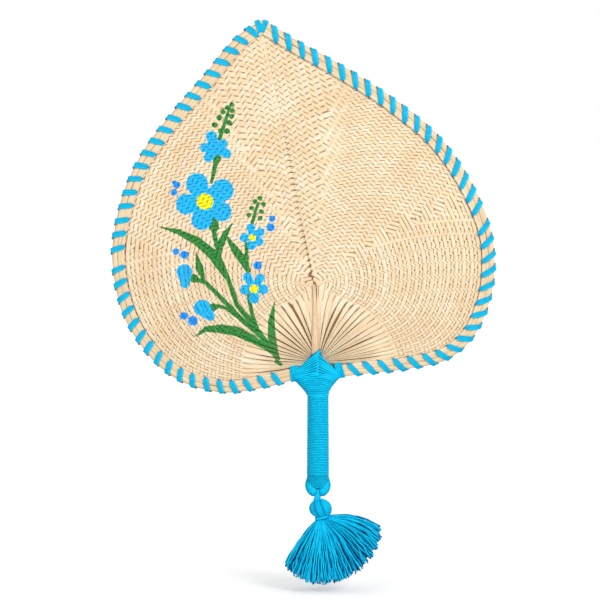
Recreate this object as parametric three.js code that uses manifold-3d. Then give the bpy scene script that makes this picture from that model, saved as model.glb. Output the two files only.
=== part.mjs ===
// Palm leaf fan: a woven leaf blade with a laced rim, on a wound grip that ends in an eye and a tassel.
// Millimetres. +Z runs up the fan, its front faces -Y, and the origin is the centre of the grip.
import * as THREE from "three";
import Module from "manifold-3d";

const wasm = await Module();
wasm.setup();

// Clearances
const GAP = 0.3; // between pieces that touch
const OVERRUN = 30; // how far a cutter runs past what it cuts

// Blade
const BLADE_WIDTH = 287;
const BLADE_HEIGHT = 279;
const BLADE_THICKNESS = 1.6;
const NECK_WIDTH = 27; // between the two rim ends
const HEART_RISE = 23.25; // from the top of the grip to the point that the leaf's ribs spread from
const HEART_RADIUS = 50; // the weave starts here
const HUB_RADIUS = 2.5;
const WEAVE_ROW_SHARES = [0, 0.5, 1]; // from the heart's edge to the rim
const PLEAT_RISE = 0.7;
const PLEAT_COUNT = 26;
const PLEAT_ROW_SHARES = [0, 0.4, 0.58, 0.84, 1]; // from the hub to the heart's edge
const PLEAT_RISE_SHARES = [0, 0, 1, 1, 0]; // of the pleats' rise, on those rows
const HEART_EDGE_STEPS = 6; // along the rim, each side
const PLEAT_CLEARANCE = 13.5; // from the rim's outer edge to the first pleat
const BLUNT_TIP = 2; // the blade's two lower tips end this far from their point

// Rim
const RIM_WIDTH = 9.8;
const RIM_FOLD_WIDTH = 4.7; // the outer strip's width on each face
const RIM_STRIP_THICKNESS = 0.9;
const RIM_STEPS = 40;

// Edge lacing
const LACE_WIDTH = 3.6;
const LACE_THICKNESS = 0.5;
const LACE_LIFT = 0.45; // the ribbon's clearance round the rim
const LACE_SLANT = 5; // a front stitch's inner end lies this far clockwise of its outer end
const LACE_START = 9; // from the neck to the first stitch hole
const LACE_END = 8; // from the last stitch hole to the tip
const LACE_JOIN = 5.2; // between the last hole of one length and the first of the next
const LOWER_TURNS = 17;
const UPPER_TURNS = 19;

// Stalk
const STALK_DIAMETER = 8;
const SPINE_FOOT_WIDTH = 6;
const SPINE_FOOT_THICKNESS = 2;
const SPINE_TOP_WIDTH = 2.5;
const SPINE_TOP_THICKNESS = 1;
const SPINE_LENGTH = 58; // above the point that the ribs spread from
const SPINE_FOOT_SHIFT = -2.1; // sideways, where it leaves the collar
const SPINE_TOP_SHIFT = -3;

// Grip
const GRIP_LENGTH = 61.5;
const GRIP_DIAMETER = 16.5;
const GRIP_TURNS = 22;
const GRIP_STEPS = 12; // a turn
const GRIP_THREAD = 2.1;
const BUNDLE_FLARE = 17; // width of the gathered strips at their top
const BUNDLE_RISE = 5; // above the top of the grip

// Collar wrap and lashings
const COLLAR_FOOT_WIDTH = 17.6;
const COLLAR_WIDTH = 29;
const COLLAR_DEPTH = 12.4; // front to back at its widest
const COLLAR_SHOULDER_RISE = 11.2; // above the top of the grip
const COLLAR_TIP_RISE = 32;
const COLLAR_TIP_WIDTH = 1.8;
const COLLAR_TIP_DEPTH = 8.8;
const COLLAR_TIP_SHIFT = 1.9;
const LASHING_WIDTH = 4.6;
const LASHING_THICKNESS = 1;
const LASHING_START = 1.6; // from the rim's end

// Eye
const EYE_WIDTH = 19;
const EYE_CORE_DIAMETER = 4.8;
const EYE_WRAP_THICKNESS = 1;
const EYE_SHANK_LENGTH = 10;
const EYE_BARE_ANGLE = 64; // degrees of bare core at the foot of the eye, where the tassel's cord lies
const EYE_TOP_ANGLE = 80; // degrees of bare core under the grip
const EYE_OPEN_ANGLE = 8; // degrees that the wraps' bore runs past their ends
const EYE_STEPS = 20;

// Tassel
const CORD_DIAMETER = 1.6;
const CORD_CORNER = 1.6;
const HEAD_WIDTH = 17.3;
const HEAD_HEIGHT = 16;
const HEAD_DROP = 3.9; // from the middle of the eye's foot to the top of the head
const HEAD_SHIFT = 1.9;
const HEAD_CUT = 2.4; // off the foot of the ball, at the neck
const HEAD_STEPS = 8;
const CORD_DEPTH = 3; // from the top of the head to the bend of the cord inside it
const SIDE_SWING = 22; // degrees each way that the slots in the head allow
const NECK_DIAMETER = 10;
const NECK_SHIFT = 3.75;
const NECK_LENGTH = 5.2;
const TIE_TURNS = 2;
const TIE_THREAD = 0.75;
const TIE_PITCH = 1.2;
const STRAND_COUNT = 110;
const STRAND_LENGTH = 51;
const STRAND_THICKNESS = 0.9;
const STRAND_SWING_LEFT = 40; // degrees from straight down
const STRAND_SWING_RIGHT = 84;
const STRAND_SWING_DEEP = 24;
const STRAND_DROOP_SHARE = 0.33; // of its swing, how much further out a strand sets off
const STRAND_SHORTER_SHARE = 0.16; // how much shorter the outermost strand is
const STRAND_WIDTH_SHARES = [0.7, 1.25, 0.8]; // of its thickness, at its root, middle and end

// Outline of the rim from the neck to the tip, as shares of the blade's width and height, counted from
// the point that the ribs spread from.
const LEFT_EDGE_SHARES = [
  [-0.131, -0.067], [-0.243, -0.083], [-0.361, -0.052], [-0.449, 0.024], [-0.512, 0.137], [-0.538, 0.282],
  [-0.524, 0.39], [-0.481, 0.519], [-0.408, 0.634], [-0.303, 0.761], [-0.204, 0.879],
];
const RIGHT_EDGE_SHARES = [
  [0.11, -0.034], [0.227, -0.021], [0.34, 0.008], [0.41, 0.073], [0.449, 0.167], [0.461, 0.269],
  [0.449, 0.358], [0.405, 0.47], [0.329, 0.589], [0.227, 0.683], [0.099, 0.772], [-0.047, 0.857],
];
const TIP_SHARE = [-0.146, 0.917];
const LEFT_NECK_HEIGHT_SHARE = -0.046;
const RIGHT_NECK_HEIGHT_SHARE = -0.042;

// Heights that follow from the sizes above
const GRIP_TOP = GRIP_LENGTH / 2;
const GRIP_BOTTOM = -GRIP_LENGTH / 2;
const HEART = new THREE.Vector3(0, 0, GRIP_TOP + HEART_RISE);
const UP = new THREE.Vector3(0, 0, 1);
const BACK = new THREE.Vector3(0, 1, 0);
const RIGHT = new THREE.Vector3(1, 0, 0);
const LEAF_HALF = BLADE_THICKNESS / 2;
const SLOT_HALF = LEAF_HALF + GAP;
const RIM_HALF = SLOT_HALF + RIM_STRIP_THICKNESS;
const LEAF_INSET = RIM_STRIP_THICKNESS + GAP; // from the rim's outer edge to the leaf's own edge

// Turns lists of points and triangles into a solid with its faces pointing out.
function solidOf(points, triangles) {
  let volume = 0;
  for (const [a, b, c] of triangles) {
    volume += points[a].dot(new THREE.Vector3().crossVectors(points[b], points[c]));
  }
  const turned = volume < 0 ? triangles.map(([a, b, c]) => [a, c, b]) : triangles;
  const vertProperties = new Float32Array(points.flatMap((p) => [p.x, p.y, p.z]));
  return new wasm.Manifold(new wasm.Mesh({
    numProp: 3,
    vertProperties,
    triVerts: new Uint32Array(turned.flat()),
  }));
}

// Turns a solid into a named mesh.
function meshOf(name, solid, material) {
  const made = solid.getMesh();
  const geometry = new THREE.BufferGeometry();
  geometry.setAttribute("position", new THREE.BufferAttribute(made.vertProperties, made.numProp));
  geometry.setIndex(new THREE.BufferAttribute(made.triVerts, 1));
  geometry.computeVertexNormals();
  const mesh = new THREE.Mesh(geometry, material);
  mesh.name = name;
  return mesh;
}

// Places a flat section's points on a frame: its origin, the direction of the first number and of the
// second.
function placed(section, frame) {
  return section.map(([a, b]) =>
    frame.origin.clone().addScaledVector(frame.first, a).addScaledVector(frame.second, b));
}

// Joins a section's places along a list of frames into one solid, closed by two caps or, in a ring, by
// itself.
function sweep(section, frames, ring = false) {
  const count = section.length;
  const points = frames.flatMap((frame) => placed(section, frame));
  const triangles = [];
  const spans = ring ? frames.length : frames.length - 1;
  for (let i = 0; i < spans; i++) {
    const here = i * count;
    const next = ((i + 1) % frames.length) * count;
    for (let j = 0; j < count; j++) {
      const k = (j + 1) % count;
      triangles.push([here + j, next + j, next + k], [here + j, next + k, here + k]);
    }
  }
  if (!ring) {
    const flat = section.map(([a, b]) => new THREE.Vector2(a, b));
    const last = (frames.length - 1) * count;
    const turn = THREE.ShapeUtils.isClockWise(flat) ? -1 : 1;
    for (const [a, b, c] of THREE.ShapeUtils.triangulateShape(flat, [])) {
      const [p, q] = turn > 0 ? [b, c] : [c, b];
      triangles.push([a, p, q], [last + a, last + q, last + p]);
    }
  }
  return solidOf(points, triangles);
}

// Joins two like grids of points, one for the front and one for the back, into one closed slab.
function slab(front, back) {
  const columns = front.length;
  const rows = front[0].length;
  const points = [...front.flat(), ...back.flat()];
  const at = (side, i, j) => side * columns * rows + i * rows + j;
  const triangles = [];
  const quad = (a, b, c, d) => triangles.push([a, b, c], [a, c, d]);
  for (let i = 0; i + 1 < columns; i++) {
    for (let j = 0; j + 1 < rows; j++) {
      quad(at(0, i, j), at(0, i + 1, j), at(0, i + 1, j + 1), at(0, i, j + 1));
      quad(at(1, i, j), at(1, i, j + 1), at(1, i + 1, j + 1), at(1, i + 1, j));
    }
    quad(at(0, i, 0), at(1, i, 0), at(1, i + 1, 0), at(0, i + 1, 0));
    quad(at(0, i, rows - 1), at(0, i + 1, rows - 1), at(1, i + 1, rows - 1), at(1, i, rows - 1));
  }
  for (let j = 0; j + 1 < rows; j++) {
    quad(at(0, 0, j), at(0, 0, j + 1), at(1, 0, j + 1), at(1, 0, j));
    const end = columns - 1;
    quad(at(0, end, j), at(1, end, j), at(1, end, j + 1), at(0, end, j + 1));
  }
  return solidOf(points, triangles);
}

// The points of a regular section with a width along each of its two directions.
function roundSection(firstWidth, secondWidth, sides) {
  const section = [];
  for (let i = 0; i < sides; i++) {
    const angle = (2 * Math.PI * i) / sides;
    section.push([(firstWidth / 2) * Math.cos(angle), (secondWidth / 2) * Math.sin(angle)]);
  }
  return section;
}

// A rectangle between two corners.
function boxSection(firstLow, firstHigh, secondLow, secondHigh) {
  return [[firstLow, secondLow], [firstHigh, secondLow], [firstHigh, secondHigh], [firstLow, secondHigh]];
}

// A solid of oval level sections, each given as its height, its sideways shift, its width and its depth.
function loft(levels, sides) {
  const unit = roundSection(2, 2, sides);
  const frames = levels.map(([height, shift, width, depth]) => ({
    origin: new THREE.Vector3(shift, 0, height),
    first: RIGHT.clone().multiplyScalar(width / 2),
    second: BACK.clone().multiplyScalar(depth / 2),
  }));
  return sweep(unit, frames);
}

// A box between two corners, for cutting.
function block(low, high) {
  const frames = [low.z, high.z].map((height) => ({
    origin: new THREE.Vector3(0, 0, height),
    first: RIGHT,
    second: BACK,
  }));
  return sweep(boxSection(low.x, high.x, low.y, high.y), frames);
}

// Joins a list of solids two by two.
function joined(solids) {
  let left = solids;
  while (left.length > 1) {
    const next = [];
    for (let i = 0; i < left.length; i += 2) {
      next.push(i + 1 < left.length ? left[i].add(left[i + 1]) : left[i]);
    }
    left = next;
  }
  return left[0];
}

// The least distance between parts of one tube that are at least `apart` rings from each other along it.
function leastGap(section, frames, apart) {
  const between = section.flatMap(([a, b], i) => {
    const [c, d] = section[(i + 1) % section.length];
    return [[a, b], [(a + c) / 2, (b + d) / 2]];
  });
  const rings = frames.map((frame) => placed(between, frame));
  let least = Infinity;
  for (let i = 0; i < rings.length; i++) {
    for (let j = i + apart; j < rings.length; j++) {
      for (const p of rings[i]) {
        for (const q of rings[j]) {
          least = Math.min(least, p.distanceToSquared(q));
        }
      }
    }
  }
  return Math.sqrt(least);
}

// One half of the rim's outer edge, from the neck to the tip, as straight steps. Each station has its
// place and the vector that leads one millimetre into the blade.
class Rail {
  constructor(turn, neckHeightShare, edgeShares) {
    this.turn = turn;
    const spot = ([across, up]) =>
      new THREE.Vector3(across * BLADE_WIDTH, 0, HEART.z + up * BLADE_HEIGHT);
    const neck = new THREE.Vector3((turn * NECK_WIDTH) / 2, 0, HEART.z + neckHeightShare * BLADE_HEIGHT);
    this.tip = spot(TIP_SHARE);
    const points = [neck, ...edgeShares.map(spot), this.tip];
    const curve = new THREE.CatmullRomCurve3(points, false, "centripetal");
    this.stations = [];
    for (let i = 0; i <= RIM_STEPS; i++) {
      const along = curve.getTangentAt(i / RIM_STEPS);
      this.stations.push({ point: curve.getPointAt(i / RIM_STEPS), along, inward: this.inwardOf(along) });
    }
    this.measure();
  }

  inwardOf(along) {
    return new THREE.Vector3(-this.turn * along.z, 0, this.turn * along.x);
  }

  measure() {
    this.lengths = [0];
    for (let i = 1; i < this.stations.length; i++) {
      const step = this.stations[i].point.distanceTo(this.stations[i - 1].point);
      this.lengths.push(this.lengths[i - 1] + step);
    }
    this.length = this.lengths[this.stations.length - 1];
  }

  // The frame at a distance from the neck: it lies on the straight steps, and runs on past the neck.
  at(distance) {
    let i = 0;
    while (i + 2 < this.stations.length && this.lengths[i + 1] < distance) i++;
    const share = (distance - this.lengths[i]) / (this.lengths[i + 1] - this.lengths[i]);
    const [here, next] = [this.stations[i], this.stations[i + 1]];
    return {
      origin: here.point.clone().lerp(next.point, share),
      first: here.inward.clone().lerp(next.inward, share),
      second: BACK,
      along: this.alongAt(i, share),
    };
  }

  // The rim's direction on a straight step: the step's own in its middle, and the mean of two steps at
  // a station.
  alongAt(step, share) {
    const way = (i) => {
      const [low, high] = [Math.max(i, 0), Math.min(i + 1, RIM_STEPS)];
      return this.stations[high].point.clone().sub(this.stations[low].point).normalize();
    };
    const own = way(step);
    const other = share < 1 / 2 ? way(step - 1) : way(Math.min(step + 1, RIM_STEPS - 1));
    return own.lerp(other, Math.abs(share - 1 / 2)).normalize();
  }

  frames(from = 0) {
    const first = this.at(from);
    const rest = this.stations.slice(1).map((station) => ({
      origin: station.point,
      first: station.inward,
      second: BACK,
    }));
    return [first, ...rest];
  }

  // The distance from the neck at which the leaf's own edge is a radius away from the heart.
  distanceAt(radius) {
    let [low, high] = [0, this.length / 2];
    for (let i = 0; i < RIM_STEPS; i++) {
      const middle = (low + high) / 2;
      if (this.inset(middle, LEAF_INSET).distanceTo(HEART) < radius) low = middle;
      else high = middle;
    }
    return low;
  }

  inset(distance, depth) {
    const frame = this.at(distance);
    return frame.origin.addScaledVector(frame.first, depth);
  }
}

const leftRail = new Rail(-1, LEFT_NECK_HEIGHT_SHARE, LEFT_EDGE_SHARES);
const rightRail = new Rail(1, RIGHT_NECK_HEIGHT_SHARE, RIGHT_EDGE_SHARES);

// Mitres the two rails at the tip, half a gap apart.
function mitreTip() {
  const [left, right] = [leftRail, rightRail].map((rail) => rail.stations[RIM_STEPS]);
  const middle = left.inward.clone().add(right.inward).normalize();
  const inward = middle.clone().divideScalar(middle.dot(left.inward));
  for (const rail of [leftRail, rightRail]) {
    const station = rail.stations[RIM_STEPS];
    const aside = station.along.clone().addScaledVector(middle, -station.along.dot(middle)).normalize();
    station.inward = inward;
    station.point = rail.tip.clone().addScaledVector(aside, -GAP / 2);
    rail.measure();
  }
}

mitreTip();

const straw = new THREE.MeshStandardMaterial({ color: 0xf3dcae, roughness: 0.72, metalness: 0 });
const strawRim = new THREE.MeshStandardMaterial({ color: 0xefd5a2, roughness: 0.7, metalness: 0 });
const stalkWood = new THREE.MeshStandardMaterial({ color: 0xe2c28a, roughness: 0.75, metalness: 0 });
const ribbon = new THREE.MeshStandardMaterial({ color: 0x00b4e0, roughness: 0.45, metalness: 0 });
const thread = new THREE.MeshStandardMaterial({ color: 0x00a6d6, roughness: 0.55, metalness: 0 });
const tasselThread = new THREE.MeshStandardMaterial({ color: 0x0094c8, roughness: 0.6, metalness: 0 });

// Places of the stitch holes along a rail: two lengths of ribbon, each a whole number of turns, with a
// join between.
function laceHoles(rail, turns) {
  const free = rail.length - LACE_START - LACE_END - LACE_JOIN;
  const pitch = free / (LOWER_TURNS + UPPER_TURNS);
  const lower = [];
  const upper = [];
  for (let i = 0; i <= LOWER_TURNS; i++) lower.push(LACE_START + i * pitch);
  for (let i = 0; i <= UPPER_TURNS; i++) upper.push(lower[LOWER_TURNS] + LACE_JOIN + i * pitch);
  return turns === "lower" ? lower : upper;
}

const laceLow = -LACE_LIFT - LACE_THICKNESS / 2;
const laceHigh = RIM_WIDTH + LACE_LIFT + LACE_THICKNESS / 2;
const laceOut = RIM_HALF + LACE_LIFT + LACE_THICKNESS / 2;
const laceSpan = LACE_WIDTH / Math.cos(Math.atan2(LACE_SLANT, RIM_WIDTH));

// The frames of one length of lacing, from its end in the first hole to its end in the last. Round the
// rim's outer edge the ribbon's corners are cut, and at the holes they are folded sharp.
function laceFrames(rail, holes) {
  const soft = RIM_STRIP_THICKNESS;
  const spots = [];
  const add = (distance, depth, back) => spots.push({ distance, depth, back });
  add(holes[0], laceHigh, -LEAF_HALF);
  for (let i = 0; i + 1 < holes.length; i++) {
    const pitch = holes[i + 1] - holes[i];
    const outer = rail.turn < 0 ? holes[i] + pitch - LACE_SLANT : holes[i] + LACE_SLANT;
    const [wayIn, wayOut] = rail.turn < 0 ? [1, -1] : [-1, 1];
    add(holes[i], laceHigh, wayIn * laceOut);
    add(outer, laceLow + soft, wayIn * laceOut);
    add(outer, laceLow, wayIn * (laceOut - soft));
    add(outer, laceLow, wayOut * (laceOut - soft));
    add(outer, laceLow + soft, wayOut * laceOut);
    add(holes[i + 1], laceHigh, wayOut * laceOut);
  }
  const last = spots[spots.length - 1];
  add(last.distance, laceHigh, -Math.sign(last.back) * LEAF_HALF);
  spots[0].back = Math.sign(last.back) * LEAF_HALF;
  const places = spots.map(({ distance, depth, back }) => {
    const frame = rail.at(distance);
    const origin = frame.origin.addScaledVector(frame.first, depth).addScaledVector(BACK, back);
    return { origin, along: frame.along };
  });
  return places.map(({ origin, along }, i) => {
    const level = (v) => v.addScaledVector(along, -v.dot(along)).normalize();
    const before = level(origin.clone().sub(places[Math.max(i - 1, 0)].origin));
    const after = level(places[Math.min(i + 1, places.length - 1)].origin.clone().sub(origin));
    if (i === 0) before.copy(after);
    if (i === places.length - 1) after.copy(before);
    const way = before.clone().add(after).normalize();
    const out = new THREE.Vector3().crossVectors(way, along).normalize();
    return { origin, first: along, second: out.divideScalar(way.dot(after)) };
  });
}

const laceSection = boxSection(-laceSpan / 2, laceSpan / 2, -LACE_THICKNESS / 2, LACE_THICKNESS / 2);

// A cutter through the leaf for each stitch hole.
function laceSlots(rail, holes) {
  return holes.map((distance) => {
    const frame = rail.at(distance);
    const middle = frame.origin.addScaledVector(frame.first, laceHigh);
    const half = LACE_THICKNESS / 2 + GAP;
    const slot = boxSection(-laceSpan / 2 - GAP, laceSpan / 2 + GAP, -half, half);
    const frames = [-OVERRUN, OVERRUN].map((back) => ({
      origin: middle.clone().addScaledVector(BACK, back),
      first: frame.along,
      second: rail.inwardOf(frame.along),
    }));
    return sweep(slot, frames);
  });
}

// The rim's band, or a stretch of it, with a margin all round, for cutting and for the lashings.
function band(rail, from, to, margin) {
  const section = boxSection(-margin, RIM_WIDTH + margin, -RIM_HALF - margin, RIM_HALF + margin);
  return sweep(section, [rail.at(from), rail.at(to)]);
}

const rails = { left: leftRail, right: rightRail };
const laces = {};
for (const [side, rail] of Object.entries(rails)) {
  for (const turns of ["lower", "upper"]) {
    laces[`${turns}_${side}`] = { rail, holes: laceHoles(rail, turns) };
  }
}

// Cutters through the leaf for the lashings' inner sides.
function lashingSlots() {
  return Object.values(rails).map((rail) => {
    const low = RIM_WIDTH;
    const section = boxSection(low, low + LASHING_THICKNESS + 2 * GAP, -OVERRUN, OVERRUN);
    const ends = [LASHING_START - GAP, LASHING_START + LASHING_WIDTH + GAP];
    return sweep(section, ends.map((distance) => rail.at(distance)));
  });
}

const laceCutters = Object.values(laces).flatMap(({ rail, holes }) => laceSlots(rail, holes));
const leafCutters = joined([...laceCutters, ...lashingSlots()]);

// The angle about the heart of a place on the leaf, from the right over the top to the left.
function angleOf(spot) {
  const angle = Math.atan2(spot.z - HEART.z, spot.x);
  return angle < -Math.PI / 2 ? angle + 2 * Math.PI : angle;
}

// The woven field: a slab between the heart's round edge and the rim.
function wovenBlade() {
  const inner = HEART_RADIUS + GAP;
  const outside = [];
  for (const rail of [leftRail, rightRail]) {
    const start = rail.distanceAt(inner) + BLUNT_TIP;
    const edge = [rail.inset(start, LEAF_INSET)];
    for (let i = 0; i < RIM_STEPS; i++) {
      if (rail.lengths[i] > start + BLUNT_TIP) edge.push(rail.inset(rail.lengths[i], LEAF_INSET));
    }
    outside.push(edge);
  }
  const tip = leftRail.tip.clone().addScaledVector(leftRail.stations[RIM_STEPS].inward, LEAF_INSET);
  const edge = [...outside[0], tip, ...outside[1].reverse()];
  const [from, to] = [leftRail, rightRail].map((rail) =>
    angleOf(rail.inset(rail.distanceAt(inner), LEAF_INSET)) + (rail.turn * BLUNT_TIP) / inner);
  const layer = (back) => edge.map((outer, i) => {
    const angle = from + ((to - from) * i) / (edge.length - 1);
    const start = HEART.clone().add(new THREE.Vector3(inner * Math.cos(angle), 0, inner * Math.sin(angle)));
    return WEAVE_ROW_SHARES.map((share) => start.clone().lerp(outer, share).addScaledVector(BACK, back));
  });
  return slab(layer(-LEAF_HALF), layer(LEAF_HALF)).subtract(leafCutters);
}

// The unwoven foot of the leaf: pleats that spread from the heart, flat under the rim and beside the
// spine.
function leafHeart() {
  const [left, right] = [leftRail, rightRail].map((rail) => {
    const reach = rail.distanceAt(HEART_RADIUS);
    const edge = [];
    for (let i = 0; i < HEART_EDGE_STEPS; i++) {
      edge.push({ outer: rail.inset((reach * i) / HEART_EDGE_STEPS, LEAF_INSET), rise: 0 });
    }
    return { edge, angle: angleOf(rail.inset(reach, LEAF_INSET)) };
  });
  const pleats = [];
  const steps = 2 * PLEAT_COUNT;
  for (let i = 0; i <= steps; i++) {
    const angle = left.angle + ((right.angle - left.angle) * i) / steps;
    const way = new THREE.Vector3(Math.cos(angle), 0, Math.sin(angle));
    const aside = Math.min(left.angle - angle, angle - right.angle);
    const underRim = aside < Math.asin(PLEAT_CLEARANCE / HEART_RADIUS);
    const underSpine = way.z > 0 && Math.abs(way.x) * HEART_RADIUS < SPINE_FOOT_WIDTH;
    const rise = underRim || underSpine ? 0 : PLEAT_RISE * (i % 2 === 0 ? 1 : -1);
    pleats.push({ outer: HEART.clone().addScaledVector(way, HEART_RADIUS), rise });
  }
  const layer = (back) => [...left.edge, ...pleats, ...right.edge.reverse()].map(({ outer, rise }) => {
    const way = outer.clone().sub(HEART).normalize();
    const start = HEART.clone().addScaledVector(way, HUB_RADIUS);
    return PLEAT_ROW_SHARES.map((share, row) =>
      start.clone().lerp(outer, share).addScaledVector(BACK, back + rise * PLEAT_RISE_SHARES[row]));
  });
  const front = layer(-LEAF_HALF);
  right.edge.reverse();
  return slab(front, layer(LEAF_HALF)).subtract(leafCutters);
}

// A thread band round the rim's end beside the collar.
function lashing(rail) {
  const end = LASHING_START + LASHING_WIDTH;
  const outside = band(rail, LASHING_START, end, GAP + LASHING_THICKNESS);
  return outside.subtract(band(rail, LASHING_START - GAP, end + GAP, GAP));
}

function rimFold(rail) {
  const [out, slot, wall] = [RIM_HALF, SLOT_HALF, RIM_STRIP_THICKNESS];
  const section = [
    [0, -out], [RIM_FOLD_WIDTH, -out], [RIM_FOLD_WIDTH, -slot], [wall, -slot],
    [wall, slot], [RIM_FOLD_WIDTH, slot], [RIM_FOLD_WIDTH, out], [0, out],
  ];
  return sweep(section, rail.frames());
}

function rimStrip(rail, side) {
  const section = boxSection(RIM_FOLD_WIDTH + GAP, RIM_WIDTH, side * SLOT_HALF, side * RIM_HALF);
  return sweep(section, rail.frames());
}

const slitFoot = Math.min(leftRail.stations[0].point.z, rightRail.stations[0].point.z) - GAP;
const collarTip = GRIP_TOP + COLLAR_TIP_RISE;
const shankFoot = GRIP_BOTTOM - GAP;
const shankTop = GRIP_BOTTOM + EYE_SHANK_LENGTH;

// The stalk inside the grip, split at its top for the leaf; its front half runs on as the spine.
function leafStalk(margin = 0) {
  const grow = 2 * margin;
  const foot = SPINE_FOOT_WIDTH + grow;
  const footDepth = 2 * (SLOT_HALF + SPINE_FOOT_THICKNESS) + grow;
  const topDepth = 2 * (SLOT_HALF + SPINE_TOP_THICKNESS) + grow;
  const whole = loft([
    [shankTop + GAP - margin, 0, STALK_DIAMETER + grow, STALK_DIAMETER + grow],
    [GRIP_TOP, 0, STALK_DIAMETER + grow, STALK_DIAMETER + grow],
    [collarTip, SPINE_FOOT_SHIFT, foot, footDepth],
    [HEART.z + SPINE_LENGTH, SPINE_TOP_SHIFT, SPINE_TOP_WIDTH + grow, topDepth],
  ], 12);
  if (margin > 0) return whole;
  const reach = OVERRUN + SPINE_LENGTH;
  const slit = block(
    new THREE.Vector3(-OVERRUN, -SLOT_HALF, slitFoot),
    new THREE.Vector3(OVERRUN, SLOT_HALF, HEART.z + reach),
  );
  const rear = block(
    new THREE.Vector3(-OVERRUN, -SLOT_HALF, collarTip - GAP),
    new THREE.Vector3(OVERRUN, OVERRUN, HEART.z + reach),
  );
  return whole.subtract(slit).subtract(rear);
}

// The gathered strips round the stalk, which spread under the collar.
function stripBundle(margin = 0) {
  const grow = 2 * margin;
  const inside = GRIP_DIAMETER * Math.cos(Math.PI / GRIP_STEPS) - 2 * GRIP_THREAD;
  const width = inside - 2 * GAP + grow;
  const top = GRIP_TOP + BUNDLE_RISE + margin;
  const whole = loft([
    [GRIP_BOTTOM, 0, width, width],
    [GRIP_TOP, 0, width, width],
    [top, 0, BUNDLE_FLARE + grow, width],
  ], 14);
  if (margin > 0) return whole;
  const bore = STALK_DIAMETER + 2 * GAP;
  return whole.subtract(loft([
    [GRIP_BOTTOM - GAP, 0, bore, bore],
    [top + GAP, 0, bore, bore],
  ], 12));
}

// A thread wound round the Z axis, with straight ends that run along the axis for one thread's
// thickness.
function windingFrames(radius, low, high, turns, steps, end) {
  const frames = [];
  const count = turns * steps;
  const push = (angle, height) => frames.push({
    origin: new THREE.Vector3(radius * Math.cos(angle), radius * Math.sin(angle), height),
    first: new THREE.Vector3(Math.cos(angle), Math.sin(angle), 0),
    second: UP,
  });
  for (let i = 0; i <= count; i++) push((2 * Math.PI * i) / steps, low + ((high - low) * i) / count);
  if (end > 0) {
    const [start, stop] = [frames[0], frames[count]];
    const side = (frame) => new THREE.Vector3(frame.first.y, -frame.first.x, 0);
    start.second = side(start).add(UP);
    stop.second = side(stop).add(UP);
    frames.unshift({
      origin: start.origin.clone().addScaledVector(UP, -end),
      first: start.first,
      second: side(start),
    });
    frames.push({
      origin: stop.origin.clone().addScaledVector(UP, end),
      first: stop.first,
      second: side(stop),
    });
  }
  return frames;
}

const gripSection = roundSection(GRIP_THREAD, GRIP_THREAD, 4);

function gripFrames() {
  const radius = (GRIP_DIAMETER - GRIP_THREAD) / 2;
  const end = GRIP_THREAD;
  return windingFrames(radius, GRIP_BOTTOM + end, GRIP_TOP - end, GRIP_TURNS, GRIP_STEPS, end);
}

// The collar: a diamond of wound thread, widest over the rim's ends, cut where it passes the leaf and
// the strips.
function collarWrap() {
  const whole = loft([
    [GRIP_TOP + GAP, 0, COLLAR_FOOT_WIDTH, GRIP_DIAMETER],
    [GRIP_TOP + COLLAR_SHOULDER_RISE, 0, COLLAR_WIDTH, COLLAR_DEPTH],
    [collarTip, COLLAR_TIP_SHIFT, COLLAR_TIP_WIDTH, COLLAR_TIP_DEPTH],
  ], 16);
  const slit = block(
    new THREE.Vector3(-OVERRUN, -SLOT_HALF, slitFoot),
    new THREE.Vector3(OVERRUN, SLOT_HALF, collarTip + OVERRUN),
  );
  const cutters = [slit, leafStalk(GAP), stripBundle(GAP)];
  for (const rail of Object.values(rails)) {
    cutters.push(band(rail, -GAP, LASHING_START + LASHING_WIDTH, GAP));
    const end = LASHING_START + LASHING_WIDTH + GAP;
    cutters.push(band(rail, LASHING_START - GAP, end, 2 * GAP + LASHING_THICKNESS));
  }
  return whole.subtract(joined(cutters));
}

const eyeRadius = EYE_WIDTH / 2 - EYE_WRAP_THICKNESS - GAP - EYE_CORE_DIAMETER / 2;
const eyeHeight = shankFoot - EYE_CORE_DIAMETER / 2 - eyeRadius;
const barHeight = eyeHeight - eyeRadius;

// Frames round the eye, from one angle to another in degrees, counted from straight down towards +X.
function eyeFrames(from, to, steps) {
  const frames = [];
  for (let i = 0; i <= steps; i++) {
    const angle = THREE.MathUtils.degToRad(from + ((to - from) * i) / steps);
    const out = new THREE.Vector3(Math.sin(angle), 0, -Math.cos(angle));
    frames.push({
      origin: new THREE.Vector3(0, 0, eyeHeight).addScaledVector(out, eyeRadius),
      first: out,
      second: BACK,
    });
  }
  return frames;
}

// The strips' ends folded back to a ring, with a shank that fills the foot of the grip.
function endEye() {
  const steps = EYE_STEPS - 1;
  const frames = eyeFrames(0, (360 * steps) / EYE_STEPS, steps);
  const ring = sweep(roundSection(EYE_CORE_DIAMETER, EYE_CORE_DIAMETER, 10), frames, true);
  const shank = loft([
    [eyeHeight + eyeRadius, 0, EYE_CORE_DIAMETER, EYE_CORE_DIAMETER],
    [shankFoot, 0, STALK_DIAMETER, STALK_DIAMETER],
    [shankTop, 0, STALK_DIAMETER, STALK_DIAMETER],
  ], 12);
  return ring.add(shank);
}

function eyeWrap(turn) {
  const [from, to] = [EYE_BARE_ANGLE / 2, 180 - EYE_TOP_ANGLE / 2];
  const inside = EYE_CORE_DIAMETER + 2 * GAP;
  const outside = inside + 2 * EYE_WRAP_THICKNESS;
  const [start, end] = [turn * (from - EYE_OPEN_ANGLE), turn * (to + EYE_OPEN_ANGLE)];
  const whole = sweep(roundSection(outside, outside, 12), eyeFrames(turn * from, turn * to, EYE_STEPS / 2));
  const core = sweep(roundSection(inside, inside, 12), eyeFrames(start, end, EYE_STEPS / 2));
  return whole.subtract(core);
}

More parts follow.
